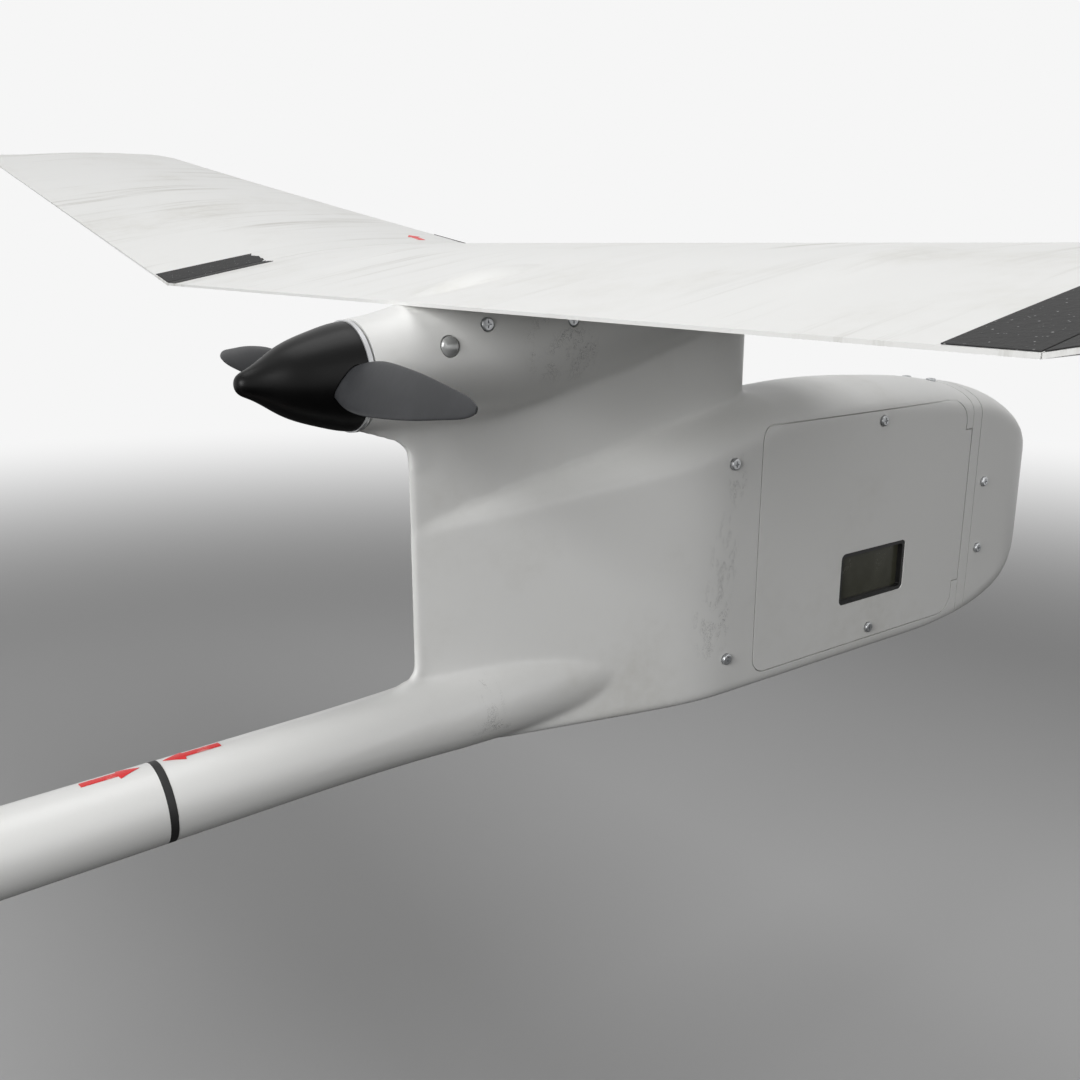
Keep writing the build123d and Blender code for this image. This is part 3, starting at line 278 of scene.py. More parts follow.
BLISTERS = ((88.0, 148.0, 74.0, 17.0), (88.0, -148.0, 74.0, 17.0))
BLISTER_HIGH = 2.1
CREASE = 0.4    # how near wing and fairing heights come before they blend


def blister_height(x, y):
    total = 0.0
    for middle_x, middle_y, long, wide in BLISTERS:
        off = ((x - middle_x) / long) ** 2 + ((y - middle_y - 0.12 * (x - middle_x)) / wide) ** 2
        if off < 1:
            total += BLISTER_HIGH * (1 - off) ** 2 * (1.4 - 0.4 * (1 - off))
    return total


# %% [markdown]
# The centre section is one skin over ribs. Each rib is lifted where a blister or the nacelle's
# fairing stands above the aerofoil, with a narrow blend where the two heights meet.

# %% Build the centre section
def rib_points(outline, y, lift=0.0, inset=0.0):
    return [at(x + inset, y, z + lift) for x, z in outline]


def centre_rib(y):
    outline = aerofoil(CHORD).copy()
    for point in outline[:TOP_COUNT + 1]:
        x, z = point
        raised = z + blister_height(x, y)
        fairing = fairing_height(x, y) if 0 <= x < 90 and abs(y) < 20 else -99.0
        gap = fairing - raised
        blend = max(0.0, CREASE - abs(gap)) ** 2 / (4 * CREASE)
        point[1] = max(raised, fairing) + blend
    return rib_points(outline, y)


fine, middle, coarse = np.arange(-22, 22.1, 1.0), np.arange(30, 190, 5.0), np.arange(198, BREAK_Y, 9.4)
stations = sorted({*fine, *middle, *(-middle), *coarse, *(-coarse), BREAK_Y, -BREAK_Y})
wing = skin_over("centre_section", [centre_rib(y) for y in stations])
smooth(wing, 40)
print("centre section", len(wing.data.vertices), "points")

# %% [markdown]
# ## Outer panels
# Each outer panel tapers, thins and turns up. Its corners are rounded by drawing the last
# ribs in along a quarter circle, and sockets for the joiners are carved into its root.

# %% Outer panel ribs
SPAR_X, SPAR_Z, SPAR_R = 150.0, 9.4, 5.2
PIN_X, PIN_Z, PIN_R = 60.0, 4.7, 2.0
PANEL_SPAR, PIN_OUT, SOCKET_PLAY = 150.0, 34.0, 0.1
LENGTH = SEMI_SPAN - BREAK_Y


def panel_rib(share, side):
    into_tip = max(0.0, (share - 1 + TIP_ROUND / LENGTH) * LENGTH / TIP_ROUND)
    bulge = sqrt(max(0.0, 1 - min(into_tip, 1.0) ** 2))
    inset = TIP_ROUND * (1 - bulge)
    chord = CHORD + (TIP_CHORD - CHORD) * share - 2 * inset
    thick = max(bulge, 0.22) * (0.55 + 0.45 * (1 - share))
    lift = LENGTH * share * tan(radians(DIHEDRAL))
    return rib_points(aerofoil(chord, thick), side * (BREAK_Y + LENGTH * share), lift, inset)


def pull_axis(side):
    return Vector((0, side * cos(radians(DIHEDRAL)), sin(radians(DIHEDRAL))))


panels = {}
for side, name in ((1, "port"), (-1, "starboard")):
    tip = TIP_ROUND / LENGTH
    shares = [SEAM / LENGTH, *np.linspace(0.02, 1 - tip, 30), *[1 - tip + tip * sin(radians(a)) for a in
                                                               (12, 24, 36, 48, 58, 66, 73, 79, 84, 88, 90)]]
    panel = skin_over("outer_panel_" + name, [panel_rib(share, side) for share in shares])
    axis = pull_axis(side)
    sockets = []
    for x, z, radius, depth in ((SPAR_X, SPAR_Z, SPAR_R + SOCKET_PLAY, PANEL_SPAR),
                                (PIN_X, PIN_Z, PIN_R + SOCKET_PLAY, PIN_OUT)):
        knee = at(x, side * BREAK_Y, z)
        sockets.append(bar("socket", knee - axis * 4 * MM, knee + axis * depth * MM, radius))
    carve(panel, sockets)
    smooth(panel, 40)
    panels[name] = panel
    print(panel.name, len(panel.data.polygons), "faces")

# %% [markdown]
# ## The hull
# Pod, strut, motor nacelle and boom flare are one moulding with soft fillets between them.
# Each is skinned over its own ribs, the four are joined, and a voxel remesh followed by
# smoothing melts them into one skin. The ring and the nose cap are then cut from that same
# skin, so that their surfaces run on without a step.

# %% Pod ribs
POD_HALF, POD_FLOOR, POD_REAR, POD_FULL_X = 32.75, -187.4, 5.0, 150.0
NOSE_X, NOSE_CURVE, RING_X, RING_LENGTH = 420.0, 41.0, 338.1, 8.0
PYLON_FRONT, PYLON_HALF, NACELLE_REAR = 184.8, 11.5, -20.5
NOSE_LEVEL = -127.0
POD_TAPER = clamped([(POD_REAR - 3, 1.0), (60, 14.5), (108, 26.4), (POD_FULL_X, POD_HALF)],
                    (1, 0.22), (1, 0), 40)
ROOF = clamped([(PYLON_FRONT, -47.4), (229, -45), (288, -47.1), (RING_X, -53.0)], (1, 0.05), (1, -0.22), 30)
CORNERS = 10


def pod_levels(x):
    """Half width, roof and floor of the pod at a station."""
    half = POD_HALF
    if x < POD_FULL_X:
        half = float(np.interp(x, POD_TAPER[:, 0], POD_TAPER[:, 1]))
    elif x > NOSE_X - NOSE_CURVE:
        half = POD_HALF * sqrt(max(0.0, 1 - ((x - NOSE_X + NOSE_CURVE) / NOSE_CURVE) ** 2))
    if x <= PYLON_FRONT:
        roof = -47.4 - (PYLON_FRONT - x) * 0.2203
    elif x <= RING_X:
        roof = float(np.interp(x, ROOF[:, 0], ROOF[:, 1]))
    else:
        ahead = (x - RING_X) / (NOSE_X - RING_X)
        roof = NOSE_LEVEL + (-53.0 - NOSE_LEVEL) * sqrt(max(0.0, 1 - ahead ** 2))
    floor = POD_FLOOR
    if x > 300:
        floor += 2.4 * min(1.0, (x - 300) / 38.0) ** 2
    if x > RING_X:
        ahead = (x - RING_X) / (NOSE_X - RING_X)
        floor = NOSE_LEVEL + (POD_FLOOR + 2.4 - NOSE_LEVEL) * max(0.0, 1 - ahead ** 2.6) ** (1 / 2.6)
    if x < 40:
        floor += 8 * (40 - x) / 35
    return half, roof, floor


def pod_rib(x):
    half, roof, floor = pod_levels(x)
    width_share = half / POD_HALF
    shoulder = min(15.0 * (0.35 + 0.65 * width_share), (roof - floor) / 2)
    forward = max(0.0, (x - RING_X) / (NOSE_X - RING_X))
    corner = min(5.0 + 22.0 * forward, half * 0.95, (roof - floor) / 2)
    points = []
    for i in range(2 * CORNERS + 1):
        turn = pi * i / (2 * CORNERS)
        points.append((half * cos(turn), roof - shoulder + shoulder * sin(turn)))
    for middle_y, start in ((-(half - corner), pi), (half - corner, 1.5 * pi)):
        for i in range(CORNERS + 1):
            turn = start + pi / 2 * i / CORNERS
            points.append((middle_y + corner * cos(turn), floor + corner + corner * sin(turn)))
    return [at(x, y, z) for y, z in points]


nose_run = [RING_X + (NOSE_X - 0.4 - RING_X) * sin(radians(a)) for a in range(6, 91, 6)]
pod_stations = [POD_REAR - 3, *range(8, 176, 6), PYLON_FRONT, *range(190, 335, 8), RING_X, *nose_run]
forms = [skin_over("pod_form", [pod_rib(x) for x in pod_stations])]

# %% [markdown]
# The strut is a streamlined section drawn straight up, the nacelle a row of ellipses, and the
# boom flare a row of circles that shrink on to the boom's line.

# %% Strut, nacelle and boom flare
BOOM_R, BOOM_Z, BOOM_DROOP, JOINT_X, JOINT_RING = 15.0, -170.9, 1.6, -104.6, 3.0
STRUT_SIDE = clamped([(POD_REAR - 3, 1.0), (50, 5.2), (90, 8.8), (140, PYLON_HALF - 0.8), (PYLON_FRONT, 0)],
                     (1, 0.1), (0, -1), 40)
strut_outline = [*STRUT_SIDE, *[(x, -y) for x, y in STRUT_SIDE[::-1][1:]]]
forms.append(skin_over("strut_form", [[at(x, y, z) for x, y in strut_outline] for z in (-110, -60, 0.6)]))


def ellipse_rib(x, low, high, half, sides=48):
    turns = [2 * pi * i / sides for i in range(sides)]
    middle, rise = (low + high) / 2, (high - low) / 2
    return [at(x, half * cos(turn), middle + rise * sin(turn)) for turn in turns]


nacelle_stations = range(int(NACELLE_REAR) - 6, 151, 4)
forms.append(skin_over("nacelle_form", [ellipse_rib(x, *nacelle_at(x)) for x in nacelle_stations]))
FLARE = clamped([(JOINT_X - 6, BOOM_R), (-60, BOOM_R), (0, 16.0), (60, 20.0), (124, 25.5)],
                (1, 0), (1, 0.12), 40)


def flare_rib(x, radius):
    middle = max(BOOM_Z + x * tan(radians(BOOM_DROOP)), POD_FLOOR + radius) if x > -30 else (
        BOOM_Z + x * tan(radians(BOOM_DROOP)))
    return ellipse_rib(x, middle - radius, middle + radius, radius)


forms.append(skin_over("flare_form", [flare_rib(x, radius) for x, radius in FLARE]))

# %% [markdown]
# Thin webs round off the corners where the strut's rear edge meets the nacelle and the boom.

# %% Webs in the strut's rear corners
WEB_HALF = 2.0
TOP_WEB = ((-20, -44), (-20, -46.9), (-9.6, -50.4), (-2.0, -53.0), (2.0, -56.5), (4.9, -64.9),
           (20, -64.9), (20, -44))
LOW_WEB = ((20, -138), (4.9, -138), (4.4, -147), (0, -152), (-8, -154.6), (-20, -156.2),
           (-40, -157), (-40, -165), (20, -165))
for name, corners in (("top_web", TOP_WEB), ("low_web", LOW_WEB)):
    forms.append(skin_over(name, [[at(x, y, z) for x, z in corners] for y in (-WEB_HALF, WEB_HALF)]))

# %% [markdown]
# The overlapping forms are joined and remeshed into a single closed skin. A few rounds of
# smoothing then turn the seams between them into soft moulded creases.

# %% Melt the forms into one skin
VOXEL, SOFTEN, SOFT_ROUNDS = 0.0015, 0.5, 6
activate(forms[0])
for form in forms:
    form.select_set(True)
bpy.ops.object.join()
hull = bpy.context.object
hull.name = hull.data.name = "hull"
modify(hull, "REMESH", mode="VOXEL", voxel_size=VOXEL, adaptivity=0.0)
modify(hull, "SMOOTH", factor=SOFTEN, iterations=SOFT_ROUNDS)
print("hull", len(hull.data.polygons), "faces")


# %% [markdown]
# The hull's ends and its joints with the ring and the nose cap are plane cuts: everything on
# one side is cut off and the cut is filled.

# %% Cut the hull into shell, ring and nose cap
def cut(obj, place, normal, keep_front):
    """Bisect a closed piece and fill the cut; the normal's side is kept if keep_front."""
    edit(obj, lambda: bpy.ops.mesh.bisect(plane_co=place, plane_no=normal, use_fill=True,
                                          clear_inner=keep_front, clear_outer=not keep_front))


def copy_of(obj, name):
    twin = obj.copy()
    twin.data = obj.data.copy()
    twin.name = twin.data.name = name
    bpy.context.collection.objects.link(twin)
    return twin


FORWARD, UP = Vector((1, 0, 0)), Vector((0, 0, 1))
boom_axis = Vector((cos(radians(BOOM_DROOP)), 0, sin(radians(BOOM_DROOP))))


def on_boom(x, y=0.0, z=0.0):
    """World point in the boom's own frame."""
    slope = radians(BOOM_DROOP)
    return at(x * cos(slope) - z * sin(slope), y, BOOM_Z + x * sin(slope) + z * cos(slope))


ring_end = RING_X + RING_LENGTH
nose = copy_of(hull, "nose_skin")
cut(nose, at(ring_end + 0.5, 0, 0), FORWARD, True)
ring = copy_of(hull, "ring_skin")
cut(ring, at(RING_X + 0.5, 0, 0), FORWARD, True)
cut(ring, at(ring_end, 0, 0), FORWARD, False)
cut(hull, at(RING_X, 0, 0), FORWARD, False)
cut(hull, at(0, 0, -TRAIL_THICK - 0.05), UP, False)
cut(hull, on_boom(JOINT_X + JOINT_RING / 2), boom_axis, True)
print("hull", len(hull.data.polygons), "ring", len(ring.data.polygons), "nose", len(nose.data.polygons))

# %% [markdown]
# The access panel lies flush in a pocket of the flank, and the shell is hollow behind its
# window. Its outline is a rectangle with four unequal corners and a tab in front. The same
# prism, grown a little, cuts the pocket, so an even gap runs all round. The panel itself is
# the skin's own copy inside the prism, so that it follows the flank exactly.

# %% Access panel pocket and panel
PANEL_X0, PANEL_X1, PANEL_Z0, PANEL_Z1 = 170.5, 332.0, -179.9, -59.8
TAB_Z0, TAB_Z1, TAB_X = -162.2, -76.9, 337.7
PANEL_GAP, POCKET_DEPTH = 0.65, 2.1
PANEL_CORNERS = ((PANEL_X0, PANEL_Z1, 8.0, 180), (PANEL_X1, PANEL_Z1, 13.0, 90))
LOW_CORNERS = ((PANEL_X1, PANEL_Z0, 11.0, 0), (PANEL_X0, PANEL_Z0, 8.0, 270))


def corner_arc(x, z, radius, start, grow):
    """Rounded corner of the panel, turning clockwise from its starting angle."""
    middle_x = x + radius if x < (PANEL_X0 + PANEL_X1) / 2 else x - radius
    middle_z = z - radius if z > (PANEL_Z0 + PANEL_Z1) / 2 else z + radius
    turns = [radians(start - 90 * step / 8) for step in range(9)]
    return [(middle_x + (radius + grow) * cos(turn), middle_z + (radius + grow) * sin(turn))
            for turn in turns]


def panel_prism(name, grow, tab_end, outside, inside):
    """Upright prism of the panel's outline on the starboard flank."""
    outline = [point for corner in PANEL_CORNERS for point in corner_arc(*corner, grow)]
    outline += [(PANEL_X1 + grow, TAB_Z1 + grow), (tab_end, TAB_Z1 + grow), (tab_end, TAB_Z0 - grow),
                (PANEL_X1 + grow, TAB_Z0 - grow)]
    outline += [point for corner in LOW_CORNERS for point in corner_arc(*corner, grow)]
    return skin_over(name, [[at(x, y, z) for x, z in outline] for y in (outside, inside)])


panel_skin = copy_of(hull, "panel_skin")
core = panel_prism("panel_core", 0.0, TAB_X, -POD_HALF - 8, -POD_HALF + POCKET_DEPTH - 0.1)
modify(panel_skin, "BOOLEAN", operation="INTERSECT", object=core, solver="EXACT")
bpy.data.objects.remove(core)
WINDOW_X, WINDOW_Z, WINDOW_LONG, WINDOW_HIGH = 259.45, -144.5, 52.9, 27.4
opening = brick("opening", (WINDOW_X - WINDOW_LONG / 2, -40, WINDOW_Z - WINDOW_HIGH / 2),
                (WINDOW_X + WINDOW_LONG / 2, -20, WINDOW_Z + WINDOW_HIGH / 2))


def round_edges_along_y(obj, radius):
    """Round the four edges that run across the plane."""
    activate(obj)
    bpy.ops.object.mode_set(mode="EDIT")
    bpy.ops.mesh.select_all(action="DESELECT")
    mesh = bmesh.from_edit_mesh(obj.data)
    for edge in mesh.edges:
        edge.select = abs((edge.verts[0].co - edge.verts[1].co).normalized().y) > 0.9
    bmesh.update_edit_mesh(obj.data)
    bpy.ops.mesh.bevel(offset=radius * MM, segments=6)
    bpy.ops.object.mode_set(mode="OBJECT")


round_edges_along_y(opening, 3.0)
carve(panel_skin, [opening])
carve(hull, [panel_prism("pocket", PANEL_GAP, RING_X + 4, -POD_HALF - 8, -POD_HALF + POCKET_DEPTH)])
carve(hull, [brick("camera_room", (227, -32, -163), (292, 8, -127))])
print("panel", len(panel_skin.data.polygons), "faces")

# %% [markdown]
# Each screw head sits in its own shallow counterbore, the motor in a round well behind the
# nacelle, and a domed plug in a groove on either flank. All are cut with round bars.

# %% Counterbores, motor well and plug holes
SEAT_R, SEAT_DEPTH, NACELLE_SEAT_DEPTH = 3.05, 0.5, 1.0
NACELLE_SCREWS, NACELLE_SCREW_Z = ((27.7, 19.4), (69.6, 18.6)), -8.4
flank_sites = [(151.7, -74.7), (151.7, -167.9)]
panel_sites = [(258.5, PANEL_Z1 - 5.1), (258.5, PANEL_Z0 + 5.4)]
nose_sites = [(354.3, -108.1), (354.3, -146.7)]


def seat(x, y, z, depth, out):
    """Round cutter from a depth under a flank outwards; out is the side, +1 to port."""
    return bar("seat", at(x, y - out * depth, z), at(x, y + out * 6, z), SEAT_R)


carve(panel_skin, [seat(x, -POD_HALF, z, SEAT_DEPTH, -1) for x, z in panel_sites])
carve(nose, [seat(x, side * POD_HALF, z, SEAT_DEPTH, side) for side in (-1, 1) for x, z in nose_sites])
cutters = [seat(x, side * POD_HALF, z, SEAT_DEPTH, side) for side in (-1, 1) for x, z in flank_sites]
cutters += [seat(x, side * half, NACELLE_SCREW_Z, NACELLE_SEAT_DEPTH, side)
            for side in (-1, 1) for x, half in NACELLE_SCREWS]
cutters += [bar("top_seat", at(332.4, y, -52.9), at(332.4, y, -40), SEAT_R) for y in (-7.9, 7.9)]
PLUG_X, PLUG_Z, PLUG_R, PLUG_PLAY = 10.4, -15.8, 4.15, 0.25
cutters += [bar("plug_hole", at(PLUG_X, side * 16.5, PLUG_Z), at(PLUG_X, side * 26, PLUG_Z), PLUG_R)
            for side in (-1, 1)]
cutters.append(brick("behind", (-60, -40, -60), (NACELLE_REAR, 40, 0)))
carve(hull, cutters)
carve(hull, [bar("motor_well", at(NACELLE_REAR - 4, 0, MOTOR_Z), at(20, 0, MOTOR_Z), 17.2, 96)])
print("hull", len(hull.data.polygons), "faces after carving")

# %% [markdown]
# The plugs are moulded rubber buttons: a low dome on a short stem. A sphere is squashed along
# the plane's width, and its inner half is drawn in as the stem.

# %% Domed plugs
domes = []
for side in (-1, 1):
    deselect()
    bpy.ops.mesh.primitive_uv_sphere_add(segments=40, ring_count=20, radius=(PLUG_R - PLUG_PLAY) * MM,
                                         location=at(PLUG_X, side * 19.55, PLUG_Z))
    dome = bpy.context.object
    edit(dome, lambda: bpy.ops.transform.resize(value=(1, 0.48, 1)))
    domes.append(dome)
activate(domes[0])
domes[1].select_set(True)
bpy.ops.object.join()
plugs = bpy.context.object
plugs.name = plugs.data.name = "plug_domes"
bpy.ops.object.transform_apply(location=True)
smooth(plugs, 60)
print("plugs", len(plugs.data.polygons), "faces")

# %% [markdown]
# Black grip tape wraps the wing at each joint. A strip of tape is a grid whose forward or
# rear end is ragged, dropped on to the wing with Shrinkwrap and then given its thickness, so
# it follows every curve of the skin under it.

# %% Tape strips
TAPE_REAR, TAPE_FRONT, TAPE_THICK, TAPE_LIFT = 58.0, 199.0, 0.3, 0.05
TAPE_DROP = 90.0


def drop_on(obj, target, lift=TAPE_LIFT, thick=TAPE_THICK):
    """Project a flat grid straight down on to a skin and thicken it."""
    modify(obj, "SHRINKWRAP", target=target, wrap_method="PROJECT", use_project_z=True,
           use_negative_direction=True, use_positive_direction=False, offset=lift * MM)
    modify(obj, "SOLIDIFY", thickness=thick * MM, offset=1.0)


def torn(y, depth, phase):
    """Uneven end of a tape strip: a few broad waves and finer ones."""
    return depth * (0.55 * sin(0.34 * y + phase) + 0.3 * sin(0.83 * y + 2.1 * phase)
                    + 0.15 * sin(2.3 * y + phase))


def tape_strip(name, target, side, inner, outer, ends, phase):
    """Strip between two distances from the centre line; ends gives rear and front at a place."""
    rows, columns = 90, 24
    deselect()
    bpy.ops.mesh.primitive_grid_add(x_subdivisions=columns, y_subdivisions=rows, size=1)
    obj = bpy.context.object
    obj.name = obj.data.name = name
    for vertex in obj.data.vertices:
        along, across = vertex.co.x + 0.5, vertex.co.y + 0.5
        out = inner + (outer - inner) * along
        rear, front = ends(out, phase)
        vertex.co = at(rear + (front - rear) * across, side * out, TAPE_DROP)
    edit(obj, outward)
    if (obj.data.polygons[0].normal.z < 0):
        edit(obj, lambda: bpy.ops.mesh.flip_normals())
    drop_on(obj, target)
    return obj


def chord_at(out):
    return CHORD + (TIP_CHORD - CHORD) * max(0.0, out - BREAK_Y) / LENGTH


def rear_ends(out, phase):
    return 0.6, TAPE_REAR + torn(out, 2.2, phase)


def front_ends(out, phase):
    return TAPE_FRONT + torn(out, 1.0, phase), chord_at(out) - 0.7


def joined(name, pieces):
    activate(pieces[0])
    for piece in pieces[1:]:
        piece.select_set(True)
    bpy.ops.object.join()
    bpy.context.object.name = bpy.context.object.data.name = name
    return bpy.context.object


tapes, centre_strips = {}, []
for name, side, inboard in (("port", 1, 11.0), ("starboard", -1, 23.0)):
    centre_strips += [
        tape_strip("strip", wing, side, BREAK_Y - inboard, BREAK_Y - 0.3, rear_ends, side + 0.5),
        tape_strip("strip", wing, side, BREAK_Y - 17, BREAK_Y - 0.3, front_ends, side)]
    panel = panels[name]
    tapes[name] = joined("tape_" + name, [
        tape_strip("strip", panel, side, BREAK_Y + 0.5, BREAK_Y + 19, rear_ends, side - 0.6),
        tape_strip("strip", panel, side, BREAK_Y + 0.5, BREAK_Y + 42, front_ends, side + 0.9)])
tapes["centre"] = joined("tape_centre", centre_strips)
print("tape", sum(len(tape.data.polygons) for tape in tapes.values()), "faces")

# %% [markdown]
# Red arrows show where the wing and the tail plug together. They are thin stickers: a
# seven-cornered outline, cut into small faces, pressed on to the skin and thickened.

# %% Assembly arrows
STICKER_THICK = 0.12


def arrow_grid(name, length, shaft, head, head_long):
    """Flat arrow along +X from 0, as a grid whose width follows the outline."""
    deselect()
    bpy.ops.mesh.primitive_grid_add(x_subdivisions=60, y_subdivisions=10, size=1)
    obj = bpy.context.object
    obj.name = obj.data.name = name
    neck = (length - head_long) / length
    for vertex in obj.data.vertices:
        run = vertex.co.x + 0.5
        wide = shaft if run < neck - 0.001 else head * (1 - run) / (1 - neck)
        vertex.co = Vector((run * length, vertex.co.y * max(wide, 0.05), 0))
    return obj


def wing_arrow(name, x, out, length):
    """Arrow on the port outer panel that points outwards."""
    obj = arrow_grid(name, length, 4.6, 9.5, 7.0)
    for vertex in obj.data.vertices:
        vertex.co = at(x - vertex.co.y, BREAK_Y + out + vertex.co.x, 120)
    edit(obj, outward)
    if obj.data.polygons[0].normal.z < 0:
        edit(obj, lambda: bpy.ops.mesh.flip_normals())
    drop_on(obj, panels["port"], thick=STICKER_THICK)
    return obj


def boom_arrow(name, tip, tail, around):
    """Arrow wrapped on the boom from a tail place to a tip place along it."""
    obj = arrow_grid(name, abs(tip - tail), 3.7, 7.6, 7.5)
    forward = 1 if tip > tail else -1
    skin_r = BOOM_R + 0.06
    for vertex in obj.data.vertices:
        turn = radians(around) + vertex.co.y / skin_r
        vertex.co = on_boom(tail + forward * vertex.co.x, skin_r * cos(turn), skin_r * sin(turn))
    edit(obj, outward)
    middle = obj.data.polygons[0]
    if (middle.center - on_boom((tip + tail) / 2)).dot(middle.normal) < 0:
        edit(obj, lambda: bpy.ops.mesh.flip_normals())
    modify(obj, "SOLIDIFY", thickness=STICKER_THICK * MM, offset=1.0)
    return obj


WING_ARROW_X = 171.0
port_arrow = wing_arrow("wing_arrow", WING_ARROW_X, 11.0, 17.0)
ARROW_TURN = 86.0
fore_arrow = boom_arrow("boom_arrow_fore", -101.6, -80.5, ARROW_TURN)
aft_arrow = boom_arrow("boom_arrow_aft", -110.0, -130.5, ARROW_TURN)
print("arrows", [len(arrow.data.polygons) for arrow in (port_arrow, fore_arrow, aft_arrow)])

# %% [markdown]
# Every finish is procedural and reads Object coordinates, which are metres in the whole
# plane's own frame. An effect that several finishes share is a node group: soft grime,
# streaks along the airflow, scuffs around one place, woven carbon and moulded grain. A
# group only gives masks, colours or heights, and the shader stays in the material.

# %% Node helpers
def group_of(name, inputs, outputs):
    """New shader node group with its sockets; returns tree, input node and output node."""
    tree = bpy.data.node_groups.new(name, "ShaderNodeTree")
    for socket, kind, value in inputs:
        made = tree.interface.new_socket(socket, in_out="INPUT", socket_type=kind)
        if value is not None:
            made.default_value = value
    for socket, kind in outputs:
        tree.interface.new_socket(socket, in_out="OUTPUT", socket_type=kind)
    return tree, tree.nodes.new("NodeGroupInput"), tree.nodes.new("NodeGroupOutput")


def node(tree, kind, links=(), **settings):
    """Add a node; settings name its properties or sockets, links are (socket, source)."""
    made = tree.nodes.new("ShaderNode" + kind)
    for key, value in settings.items():
        if hasattr(made, key) and key not in made.inputs:
            setattr(made, key, value)
    for key, value in settings.items():
        if key.replace("_", " ") in made.inputs:
            made.inputs[key.replace("_", " ")].default_value = value
    for socket, source in links:
        tree.links.new(source, made.inputs[socket])
    return made


def maths(tree, operation, first, second=None, clamp=False):
    made = tree.nodes.new("ShaderNodeMath")
    made.operation, made.use_clamp = operation, clamp
    for index, value in enumerate((first, second)):
        if isinstance(value, (int, float)):
            made.inputs[index].default_value = value
        elif value is not None:
            tree.links.new(value, made.inputs[index])
    return made.outputs[0]


def ramped(tree, source, low, high):
    """0 below low, 1 above high, smooth between."""
    made = tree.nodes.new("ShaderNodeMapRange")
    made.interpolation_type = "SMOOTHSTEP"
    made.inputs["From Min"].default_value, made.inputs["From Max"].default_value = low, high
    tree.links.new(source, made.inputs["Value"])
    return made.outputs["Result"]


def stretched(tree, vector, scale):
    made = tree.nodes.new("ShaderNodeVectorMath")
    made.operation = "MULTIPLY"
    made.inputs[1].default_value = scale
    tree.links.new(vector, made.inputs[0])
    return made.outputs[0]


# %% [markdown]
# Five effects are shared: cloudy grime, streaks along the airflow, scratchy scuffs round one
# place, the fine grain of moulded plastic, and a weave. Each gives only masks or heights.

# %% Shared effects
grime, entry, leave = group_of(
    "grime", [("Vector", "NodeSocketVector", None), ("Size", "NodeSocketFloat", 14.0)],
    [("Mask", "NodeSocketFloat")])
cloud = node(grime, "TexNoise", [("Vector", entry.outputs["Vector"]), ("Scale", entry.outputs["Size"])],
             Detail=6.0, Roughness=0.62)
fine = node(grime, "TexNoise", [("Vector", entry.outputs["Vector"])], Scale=190.0, Detail=3.0)
broken = maths(grime, "MULTIPLY", ramped(grime, cloud.outputs["Fac"], 0.48, 0.78), fine.outputs["Fac"])
grime.links.new(broken, leave.inputs["Mask"])

streaks, entry, leave = group_of("flow_streaks", [("Vector", "NodeSocketVector", None)],
                                 [("Mask", "NodeSocketFloat")])
drawn = stretched(streaks, entry.outputs["Vector"], (5.0, 95.0, 20.0))
long_noise = node(streaks, "TexNoise", [("Vector", drawn)], Scale=1.0, Detail=5.0, Roughness=0.7)
patch = node(streaks, "TexNoise", [("Vector", entry.outputs["Vector"])], Scale=9.0, Detail=2.0)
both = maths(streaks, "MULTIPLY", ramped(streaks, long_noise.outputs["Fac"], 0.5, 0.74),
             ramped(streaks, patch.outputs["Fac"], 0.38, 0.68))
streaks.links.new(both, leave.inputs["Mask"])

scuff, entry, leave = group_of(
    "scuff", [("Vector", "NodeSocketVector", None), ("Place", "NodeSocketVector", None),
              ("Reach", "NodeSocketFloat", 0.01), ("Stretch", "NodeSocketVector", None)],
    [("Mask", "NodeSocketFloat")])
away = node(scuff, "VectorMath", [(0, entry.outputs["Vector"]), (1, entry.outputs["Place"])],
            operation="SUBTRACT")
shaped = node(scuff, "VectorMath", [(0, away.outputs[0]), (1, entry.outputs["Stretch"])],
              operation="MULTIPLY")
span = node(scuff, "VectorMath", [(0, shaped.outputs[0])], operation="LENGTH")
near = maths(scuff, "SUBTRACT", 1.0,
             maths(scuff, "DIVIDE", span.outputs["Value"], entry.outputs["Reach"]), True)
scratch_space = stretched(scuff, shaped.outputs[0], (420.0, 420.0, 420.0))
scratch = node(scuff, "TexNoise", [("Vector", scratch_space)], Scale=1.0, Detail=5.0, Roughness=0.75,
               Distortion=1.6)
lines = maths(scuff, "ABSOLUTE", maths(scuff, "SUBTRACT", scratch.outputs["Fac"], 0.5))
thin = maths(scuff, "SUBTRACT", 1.0, ramped(scuff, lines, 0.002, 0.014))
clumps = node(scuff, "TexNoise", [("Vector", shaped.outputs[0])], Scale=170.0, Detail=3.0)
clumped = maths(scuff, "MULTIPLY", thin, ramped(scuff, clumps.outputs["Fac"], 0.46, 0.6))
scuff.links.new(maths(scuff, "MULTIPLY", clumped, ramped(scuff, near, 0.0, 0.55)), leave.inputs["Mask"])

grain, entry, leave = group_of("moulded_grain", [("Vector", "NodeSocketVector", None),
                                                 ("Size", "NodeSocketFloat", 900.0)],
                               [("Height", "NodeSocketFloat"), ("Mask", "NodeSocketFloat")])
pebble = node(grain, "TexNoise", [("Vector", entry.outputs["Vector"]), ("Scale", entry.outputs["Size"])],
              Detail=2.0)
wear = node(grain, "TexNoise", [("Vector", entry.outputs["Vector"])], Scale=55.0, Detail=5.0, Roughness=0.65)
grain.links.new(pebble.outputs["Fac"], leave.inputs["Height"])
grain.links.new(ramped(grain, wear.outputs["Fac"], 0.4, 0.75), leave.inputs["Mask"])

